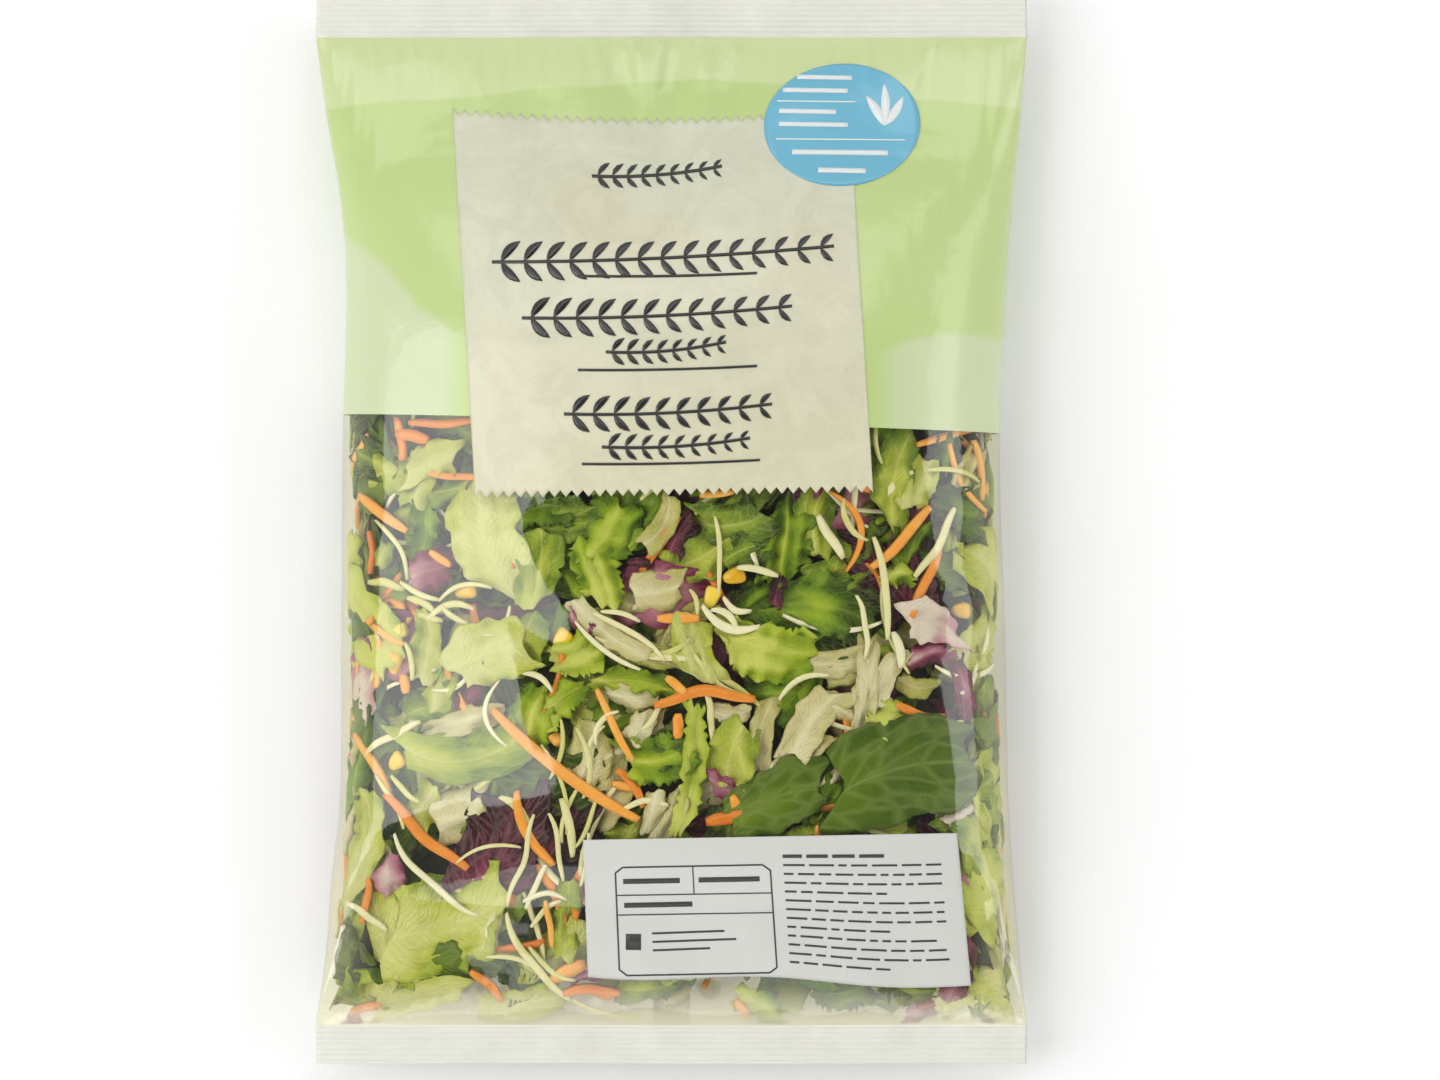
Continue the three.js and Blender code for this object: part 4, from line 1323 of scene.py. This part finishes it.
class SALADBAG_OT_film(bpy.types.Operator):
    """Make the film, a welded tube that is clear below and printed green above"""

    bl_idname = "saladbag.film"
    bl_label = "Film"

    def execute(self, context):
        rows = film_rows()
        columns = FRONT_COLUMNS + BACK_COLUMNS
        bm = start_mesh()
        verts, c, t = add_grid(bm, columns, len(rows) - 1)
        s = rows[np.rint(t * (len(rows) - 1)).astype(int)]
        write_points(verts, film_points(np.rint(c * columns), s))
        bmesh.ops.remove_doubles(bm, verts=bm.verts, dist=MERGE_DISTANCE)
        left, right = seen_at(*PRINT_LOW_LEFT), seen_at(*PRINT_LOW_RIGHT)
        upward = Vector((float(left[1] - right[1]), float(right[0] - left[0]), 0)).normalized()
        print_low = Vector((float(left[0]), float(left[1]) - BAG_LENGTH / 2, 0)) * MM
        print_top = Vector((0, PRINT_TOP - BAG_LENGTH / 2, 0)) * MM
        for spot, normal in ((print_low, upward), (print_top, Vector((0, 1, 0)))):
            geometry = bm.verts[:] + bm.edges[:] + bm.faces[:]
            bmesh.ops.bisect_plane(bm, geom=geometry, dist=MERGE_DISTANCE, plane_co=spot, plane_no=normal)
        close_ends(bm)
        seal_edge = (SEAL_HEIGHT - BAG_LENGTH / 2) * MM
        for face in bm.faces:
            middle = face.calc_center_median()
            if middle.y < seal_edge or middle.y > print_top.y:
                face.material_index = 2
            elif (middle - print_low).dot(upward) > 0:
                face.material_index = 1
        window = clear_film("window_film", srgb(254, 253, 241), srgb(252, 246, 220), window_haze_and_veil, 0.05, 0.2)
        seal = clear_film("seal_film", srgb(246, 246, 240), srgb(238, 238, 227), seal_milk, 0.12)
        green = printed_film("green_print", green_colour)
        finish_piece(bm, "film", [window, green, seal], replaced=("bag",))
        return {"FINISHED"}


class SALADBAG_OT_seam(bpy.types.Operator):
    """Make the long seam of the film down the middle of the back"""

    bl_idname = "saladbag.seam"
    bl_label = "Back seam"

    def execute(self, context):
        bm = start_mesh()
        verts, c, t = add_grid(bm, 10, 160)
        s = SEAM_INSET + t * (BAG_LENGTH - 2 * SEAM_INSET)
        x = (1 - 2 * c) * SEAM_HALF_WIDTH
        ridge = SEAM_RIDGE * np.cos(4 * np.pi * c)
        z = np.maximum(SEAM_LOWEST, back_height(x, s) - SEAM_STAND_OFF - ridge)
        write_points(verts, np.stack([x, s - BAG_LENGTH / 2, z], -1))
        material = clear_film("seam_film", srgb(236, 236, 224), srgb(222, 222, 208), seal_milk, 0.15)
        finish_piece(bm, "back_seam", [material], context.scene.salad_bag_sizes.seam_wall)
        return {"FINISHED"}


class SALADBAG_OT_front_panel(bpy.types.Operator):
    """Make the paper-coloured printed panel with its pinked edges"""

    bl_idname = "saladbag.front_panel"
    bl_label = "Front panel"

    def execute(self, context):
        (left, _), (right, _) = PANEL_CORNERS[:2]
        teeth = round((right - left) / PANEL_TOOTH_PITCH)
        bm = start_mesh()
        verts, c, t = add_grid(bm, 4 * teeth, 70)
        at = between_corners(PANEL_CORNERS, c, t)
        saw = PANEL_TOOTH_DEPTH * (np.abs((c * teeth) % 1 * 2 - 1) - 0.5)
        edge = ease(1 - t / PANEL_EDGE) - ease((t - (1 - PANEL_EDGE)) / PANEL_EDGE)
        sag = PANEL_SAG * np.sin(np.pi * c) * t
        write_points(verts, on_film(at[:, 0], at[:, 1] + saw * edge + sag, PANEL_LIFT))
        material = printed_film("panel_print", panel_colour, relief=0.3, roughness=0.42, coat=0.3)
        finish_piece(bm, "front_panel", [material], context.scene.salad_bag_sizes.print_wall)
        return {"FINISHED"}


class SALADBAG_OT_badge(bpy.types.Operator):
    """Make the round blue badge and its plain white marks"""

    bl_idname = "saladbag.badge"
    bl_label = "Badge"

    # White bars and rules by pixel: (left, right, height in the picture, width of the stroke).
    BARS = ((797, 852, 77, 4.4), (783, 848, 90, 4.4), (777, 856, 101, 1.4), (779, 836, 111, 4.4),
            (779, 848, 124, 4.4), (776, 905, 139, 1.4), (792, 888, 152, 5), (818, 866, 170, 5))
    SPROUT_FOOT = (884, 126)
    SPROUT_TIPS = ((866, 96), (884, 84), (903, 97))

    def execute(self, context):
        colours = context.scene.salad_bag_colours
        wall = context.scene.salad_bag_sizes.print_wall
        bm = start_mesh()
        add_blob(bm, BADGE_MIDDLE, BADGE_HALF, BADGE_LIFT, wobble=0.02)
        blue = printed_film("badge_print", even_colour(tuple(colours.badge)), relief=0.3)
        finish_piece(bm, "badge", [blue], wall)
        bm = start_mesh()
        for left, right, y, wide in self.BARS:
            add_mark(bm, (left, y), (right, y + 1), wide, BADGE_INK_LIFT)
        for tip in self.SPROUT_TIPS:
            add_mark(bm, self.SPROUT_FOOT, tip, 9, BADGE_INK_LIFT, bow=1.5, leafy=True)
        white = printed_film("white_ink", even_colour(srgb(240, 246, 246)), relief=0.3)
        finish_piece(bm, "badge_marks", [white], wall)
        return {"FINISHED"}


class SALADBAG_OT_sprigs(bpy.types.Operator):
    """Make the dark line drawing on the panel, plain leaf sprigs over thin rules"""

    bl_idname = "saladbag.sprigs"
    bl_label = "Sprigs"

    # Sprigs by pixel: (left end, right end, leaf length, pairs of leaves).
    SPRIGS = (((592, 176), (722, 166), 15, 9), ((492, 262), (834, 246), 24, 15),
              ((522, 318), (792, 306), 24, 12), ((606, 352), (726, 342), 16, 8),
              ((564, 414), (772, 404), 22, 10), ((602, 447), (750, 438), 16, 9))
    RULES = (((578, 276), (757, 273)), ((578, 370), (757, 366)), ((582, 464), (760, 460)))

    def execute(self, context):
        bm = start_mesh()
        for start, end, leaf, count in self.SPRIGS:
            add_sprig(bm, start, end, leaf, count, INK_LIFT)
        for start, end in self.RULES:
            add_mark(bm, start, end, 2.6, INK_LIFT, bow=1.5)
        ink = printed_film("ink", even_colour(tuple(context.scene.salad_bag_colours.ink)), relief=0.3)
        finish_piece(bm, "panel_sprigs", [ink], context.scene.salad_bag_sizes.print_wall)
        return {"FINISHED"}


def label_place(c, t):
    """Pixels on the label, c from left to right and t from bottom to top, with its wavy lower edge."""
    c, t = np.asarray(c, float), np.asarray(t, float)
    at = between_corners(LABEL_CORNERS, c, t)
    at[..., 1] += (1 - t) * LABEL_WAVE * np.sin(9 * c + 0.6)
    return at[..., 0], at[..., 1]


class SALADBAG_OT_label(bpy.types.Operator):
    """Make the white price label with its ruled frame and broken lines"""

    bl_idname = "saladbag.label"
    bl_label = "Price label"

    # Ruled frame by label shares: left, bottom, right, top.
    FRAME_BOX = (0.083, 0.03, 0.495, 0.80)
    # Its cut corners, the heights of its two upper rows, and its strokes in pixels.
    CORNER_CUT = 0.02
    FIRST_ROW, SECOND_ROW = 0.20, 0.14
    FRAME_STROKE, ROW_STROKE = 1.6, 1.2
    # Broken lines by label shares: count, highest, pitch, left end, long and short right ends, lengths
    # of a dash, gap after it, and the strokes of the first and the other lines in pixels.
    LINE_ROWS = 13
    LINE_TOP, LINE_PITCH = 0.86, 0.062
    LINE_LEFT, LONG_LINE, SHORT_LINE = 0.53, 0.95, 0.80
    DASH_LENGTHS, DASH_GAP = (0.02, 0.07), 0.012
    HEAD_STROKE, LINE_STROKE = 3.4, 2.0

    def execute(self, context):
        sizes, colours = context.scene.salad_bag_sizes, context.scene.salad_bag_colours
        bm = start_mesh()
        verts, c, t = add_grid(bm, 90, 40)
        x, y = label_place(c, t)
        write_points(verts, on_film(x, y, LABEL_LIFT))
        card = printed_film("label_card", even_colour(tuple(colours.label)), relief=0.12, roughness=0.5,
                            coat=0.15)
        finish_piece(bm, "label_card", [card], sizes.label_wall, replaced=("price_label",))
        bm = start_mesh()
        self.add_frame(bm)
        self.add_lines(bm)
        ink = printed_film("label_ink", even_colour(srgb(58, 58, 52)), relief=0.12, roughness=0.5, coat=0.1)
        finish_piece(bm, "label_marks", [ink], sizes.print_wall)
        return {"FINISHED"}

    def stroke(self, bm, start, end, width):
        ends = [tuple(float(v) for v in label_place(*spot)) for spot in (start, end)]
        add_mark(bm, ends[0], ends[1], width, LABEL_INK_LIFT)

    def add_frame(self, bm):
        left, low, right, high = self.FRAME_BOX
        cut = self.CORNER_CUT
        split, mid = high - self.FIRST_ROW, (left + right) / 2
        for t in (low, high):
            self.stroke(bm, (left + cut, t), (right - cut, t), self.FRAME_STROKE)
        for c in (left, right):
            self.stroke(bm, (c, low + 2 * cut), (c, high - 2 * cut), self.FRAME_STROKE)
            inner = c + cut if c == left else c - cut
            for t, turn in ((low, 1), (high, -1)):
                self.stroke(bm, (c, t + turn * 2 * cut), (inner, t), self.FRAME_STROKE)
        for t in (split, split - self.SECOND_ROW):
            self.stroke(bm, (left, t), (right, t), self.ROW_STROKE)
        self.stroke(bm, (mid, split), (mid, high), self.ROW_STROKE)

    def add_lines(self, bm):
        """Broken rules of uneven lengths."""
        rng = random.Random(5)
        left, low, right, high = self.FRAME_BOX
        for start, end, t, width in ((left + 0.02, left + 0.17, high - 0.10, 5),
                                     (left + 0.22, right - 0.03, high - 0.10, 5),
                                     (left + 0.02, left + 0.20, high - 0.27, 5),
                                     (left + 0.02, left + 0.06, low + 0.24, 16),
                                     (left + 0.09, left + 0.28, low + 0.30, 2),
                                     (left + 0.09, left + 0.31, low + 0.24, 2),
                                     (left + 0.09, left + 0.24, low + 0.18, 2)):
            self.stroke(bm, (start, t), (end, t), width)
        for row in range(self.LINE_ROWS):
            t = self.LINE_TOP - row * self.LINE_PITCH
            c = self.LINE_LEFT
            limit = self.LONG_LINE if row % 4 else self.SHORT_LINE
            while c < limit - self.DASH_LENGTHS[0]:
                end = min(c + rng.uniform(*self.DASH_LENGTHS), limit)
                self.stroke(bm, (c, t), (end, t), self.LINE_STROKE if row else self.HEAD_STROKE)
                c = end + self.DASH_GAP


class SALADBAG_OT_core(bpy.types.Operator):
    """Make the packed middle of the salad, painted dark as the shade deep inside the bag"""

    bl_idname = "saladbag.core"
    bl_label = "Packed middle"

    def execute(self, context):
        depth = context.scene.salad_bag_sizes.core_depth / MM
        bm = start_mesh()
        verts, c, t = add_grid(bm, 120, 90)
        s = CORE_LOW + t * (FILL_HIGH - CORE_LOW)
        a = (c % 1) * skin.girth[np.clip((s / skin.STEP).astype(int), 0, len(skin.girth) - 1)]
        uneven = np.sin(6 * np.pi * c + 0.11 * s) + np.sin(10 * np.pi * c - 0.17 * s)
        write_points(verts, skin.inside(a, s, depth + CORE_UNEVENNESS * uneven))
        bmesh.ops.remove_doubles(bm, verts=bm.verts, dist=MERGE_DISTANCE)
        close_ends(bm)
        # Painted shade: near-black colours for the salad deep inside the bag, which lies in shade.
        stops = ((0.2, srgb(16, 18, 6)), (0.5, srgb(34, 38, 12)), (0.8, srgb(62, 66, 24)))
        material = food_material("packed_middle", stops, 120, 0.6)
        set_tint(bm, bm.verts, CORE_TINT)
        finish_piece(bm, "packed_middle", [material])
        return {"FINISHED"}


class SALADBAG_OT_leaves(bpy.types.Operator):
    """Make the leaves, one piece for each kind: pale, frilly, dark, thick ribs and red"""

    bl_idname = "saladbag.leaves"
    bl_label = "Leaves"

    def execute(self, context):
        sizes = context.scene.salad_bag_sizes
        for kind in LEAF_KINDS:
            leaf_piece(kind, getattr(sizes, kind.wall))
        return {"FINISHED"}


class SALADBAG_OT_strips(bpy.types.Operator):
    """Make the thin cabbage shreds and the carrot strips"""

    bl_idname = "saladbag.strips"
    bl_label = "Strips"

    def execute(self, context):
        sizes = context.scene.salad_bag_sizes
        for kind in STRIP_KINDS:
            strip_piece(kind, getattr(sizes, kind.wall))
        return {"FINISHED"}


class SALADBAG_OT_corn(bpy.types.Operator):
    """Make the corn kernels, rounded wedges with a dimpled crown"""

    bl_idname = "saladbag.corn"
    bl_label = "Corn"

    def execute(self, context):
        rng = random.Random(28)
        bm = start_mesh()
        spots = [(spot_at(x, y), turn, CORN_DEPTH) for x, y, turn in CORN]
        for _ in range(HIDDEN_CORN):
            around = rng.uniform(FRONT_REACH, float(skin.girth.mean()) - FRONT_REACH)
            spot = around, rng.uniform(FILL_LOW + 5, FILL_HIGH)
            spots.append((spot, rng.uniform(0, 360), HIDDEN_CORN_DEPTH))
        for spot, turn, depth in spots:
            self.add_kernel(bm, spot, math.radians(turn), depth, rng)
        self.list_by_place(bm)
        bmesh.ops.recalc_face_normals(bm, faces=bm.faces)
        stops = ((0.0, srgb(246, 220, 96)), (0.5, srgb(238, 200, 54)), (1.0, srgb(220, 170, 32)))
        material = food_material("corn", stops, 200, 0.28, coat=0.3)
        finish_piece(bm, "corn", [material])
        return {"FINISHED"}

    def add_kernel(self, bm, spot, turn, depth, rng):
        verts = bmesh.ops.create_uvsphere(bm, u_segments=20, v_segments=12, radius=1)["verts"]
        ball = np.array([v.co[:] for v in verts])
        boxy = np.sign(ball) * np.abs(ball) ** KERNEL_ROUNDNESS
        long, wide, thick = (size / 2 * rng.uniform(0.9, 1.1) for size in CORN_SIZE)
        taper = 1 - KERNEL_TAPER + KERNEL_TAPER * boxy[:, 0]
        crown = np.exp(-((ball[:, 1] ** 2 + ball[:, 2] ** 2) / DIMPLE_WIDTH)) * (ball[:, 0] > 0)
        p = boxy[:, 0] * long - DIMPLE_DEPTH * long * crown
        q = boxy[:, 1] * wide * taper
        lift = boxy[:, 2] * thick * taper
        a, s = laid_at(spot, turn, p, q)
        points = skin.inside(a, s, np.full_like(a, depth + thick))
        write_points(verts, points + skin.look_up(skin.normals, a, s) * lift[:, None])
        set_tint(bm, verts, rng.random())

    def list_by_place(self, bm):
        """Sorts vertices and faces by place, because Blender lists a ball's in another order each run."""
        for items, place in ((bm.verts, lambda item: item.co),
                             (bm.faces, lambda item: item.calc_center_median())):
            listed = sorted(items, key=lambda item: place(item)[:])
            ranks = {item: rank for rank, item in enumerate(listed)}
            items.sort(key=ranks.get)


class SALADBAG_OT_stage(bpy.types.Operator):
    """Make the floor, the lights and the camera"""

    bl_idname = "saladbag.stage"
    bl_label = "Stage"

    # Half the floor's width, in metres.
    FLOOR_REACH = 3
    # Area lights in millimetres and watts: (name, place, aimed at, level size, upright size, power).
    LIGHTS = (
        ("top_box", (0, 700, 1150), (0, 0, 0), 1500, 700, 7),
        ("left_box", (-840, -100, 1000), (0, -60, 0), 700, 1090, 8.2),
        ("right_box", (1000, 0, 700), (0, 0, 0), 1100, 350, 3.4),
        ("low_box", (0, -1250, 720), (0, 0, 0), 1500, 500, 4.2),
    )
    # Brightness of the surroundings by height, from the horizon, 0, to straight above, 1.
    SURROUNDINGS = ((0.0, 1.2), (0.5, 0.6), (0.8, 0.1), (1.0, 0.05))

    def execute(self, context):
        self.add_floor(context)
        for name, place, aim, width, height, power in self.LIGHTS:
            self.add_light(context, name, place, aim, width, height, power)
        self.add_camera(context)
        self.add_surroundings(context)
        context.scene.view_settings.view_transform = "Standard"
        return {"FINISHED"}

    def add_surroundings(self, context):
        """A white room that is darker straight above, so that the middle of the film stays clear."""
        world = bpy.data.worlds.new("studio")
        world.use_nodes = True
        tree = world.node_tree
        _, _, height = split_place(tree, tree.nodes.new("ShaderNodeTexCoord").outputs["Generated"])
        stops = [(place, (level, level, level, 1)) for place, level in self.SURROUNDINGS]
        tree.links.new(ramp(tree, height, stops), tree.nodes["Background"].inputs["Color"])
        context.scene.world = world

    def add_floor(self, context):
        bm = start_mesh()
        bmesh.ops.create_grid(bm, x_segments=2, y_segments=2, size=self.FLOOR_REACH)
        mesh = bpy.data.meshes.new("floor")
        bm.to_mesh(mesh)
        bm.free()
        floor = bpy.data.objects.new("floor", mesh)
        context.scene.collection.objects.link(floor)
        material, tree, out = new_material("floor")
        white = even_colour(tuple(context.scene.salad_bag_colours.floor), 0.01)(tree)
        shader = add_node(tree, "ShaderNodeBsdfPrincipled", Roughness=0.8, Base_Color=white)
        tree.links.new(shader.outputs[0], out.inputs["Surface"])
        mesh.materials.append(material)

    def add_light(self, context, name, place, aim, width, height, power):
        data = bpy.data.lights.new(name, "AREA")
        data.shape = "RECTANGLE"
        data.size = width * MM
        data.size_y = height * MM
        data.energy = power
        light = bpy.data.objects.new(name, data)
        light.location = Vector(place) * MM
        light.rotation_euler = (Vector(aim) - Vector(place)).to_track_quat("-Z", "Y").to_euler()
        context.scene.collection.objects.link(light)

    def add_camera(self, context):
        data = bpy.data.cameras.new("camera")
        data.lens = CAMERA_LENS
        data.sensor_width = SENSOR_WIDTH
        data.sensor_fit = "HORIZONTAL"
        camera = bpy.data.objects.new("camera", data)
        camera.location = Vector((CAMERA_X, CAMERA_Y, SEAL_LEVEL + CAMERA_DISTANCE)) * MM
        context.scene.collection.objects.link(camera)
        context.scene.camera = camera


STEPS = (SALADBAG_OT_film, SALADBAG_OT_seam, SALADBAG_OT_front_panel, SALADBAG_OT_badge,
         SALADBAG_OT_sprigs, SALADBAG_OT_label, SALADBAG_OT_core, SALADBAG_OT_leaves,
         SALADBAG_OT_strips, SALADBAG_OT_corn, SALADBAG_OT_stage)


class SALADBAG_PT_pieces(bpy.types.Panel):
    """Lists the bag's pieces in the sidebar."""

    bl_label = "Salad Bag"
    bl_space_type = "VIEW_3D"
    bl_region_type = "UI"
    bl_category = "Salad Bag"

    def draw(self, context):
        for group in (context.scene.salad_bag_sizes, context.scene.salad_bag_colours):
            for name in group.__annotations__:
                self.layout.prop(group, name)
        for step in STEPS:
            self.layout.operator(step.bl_idname)


CLASSES = (SaladBagSizes, SaladBagColours, *STEPS, SALADBAG_PT_pieces)


def register():
    for cls in CLASSES:
        bpy.utils.register_class(cls)
    bpy.types.Scene.salad_bag_sizes = bpy.props.PointerProperty(type=SaladBagSizes)
    bpy.types.Scene.salad_bag_colours = bpy.props.PointerProperty(type=SaladBagColours)


def unregister():
    del bpy.types.Scene.salad_bag_colours
    del bpy.types.Scene.salad_bag_sizes
    for cls in reversed(CLASSES):
        bpy.utils.unregister_class(cls)


def main():
    register()
    for step in STEPS:
        group, name = step.bl_idname.split(".")
        getattr(getattr(bpy.ops, group), name)()


if __name__ == "__main__":
    main()
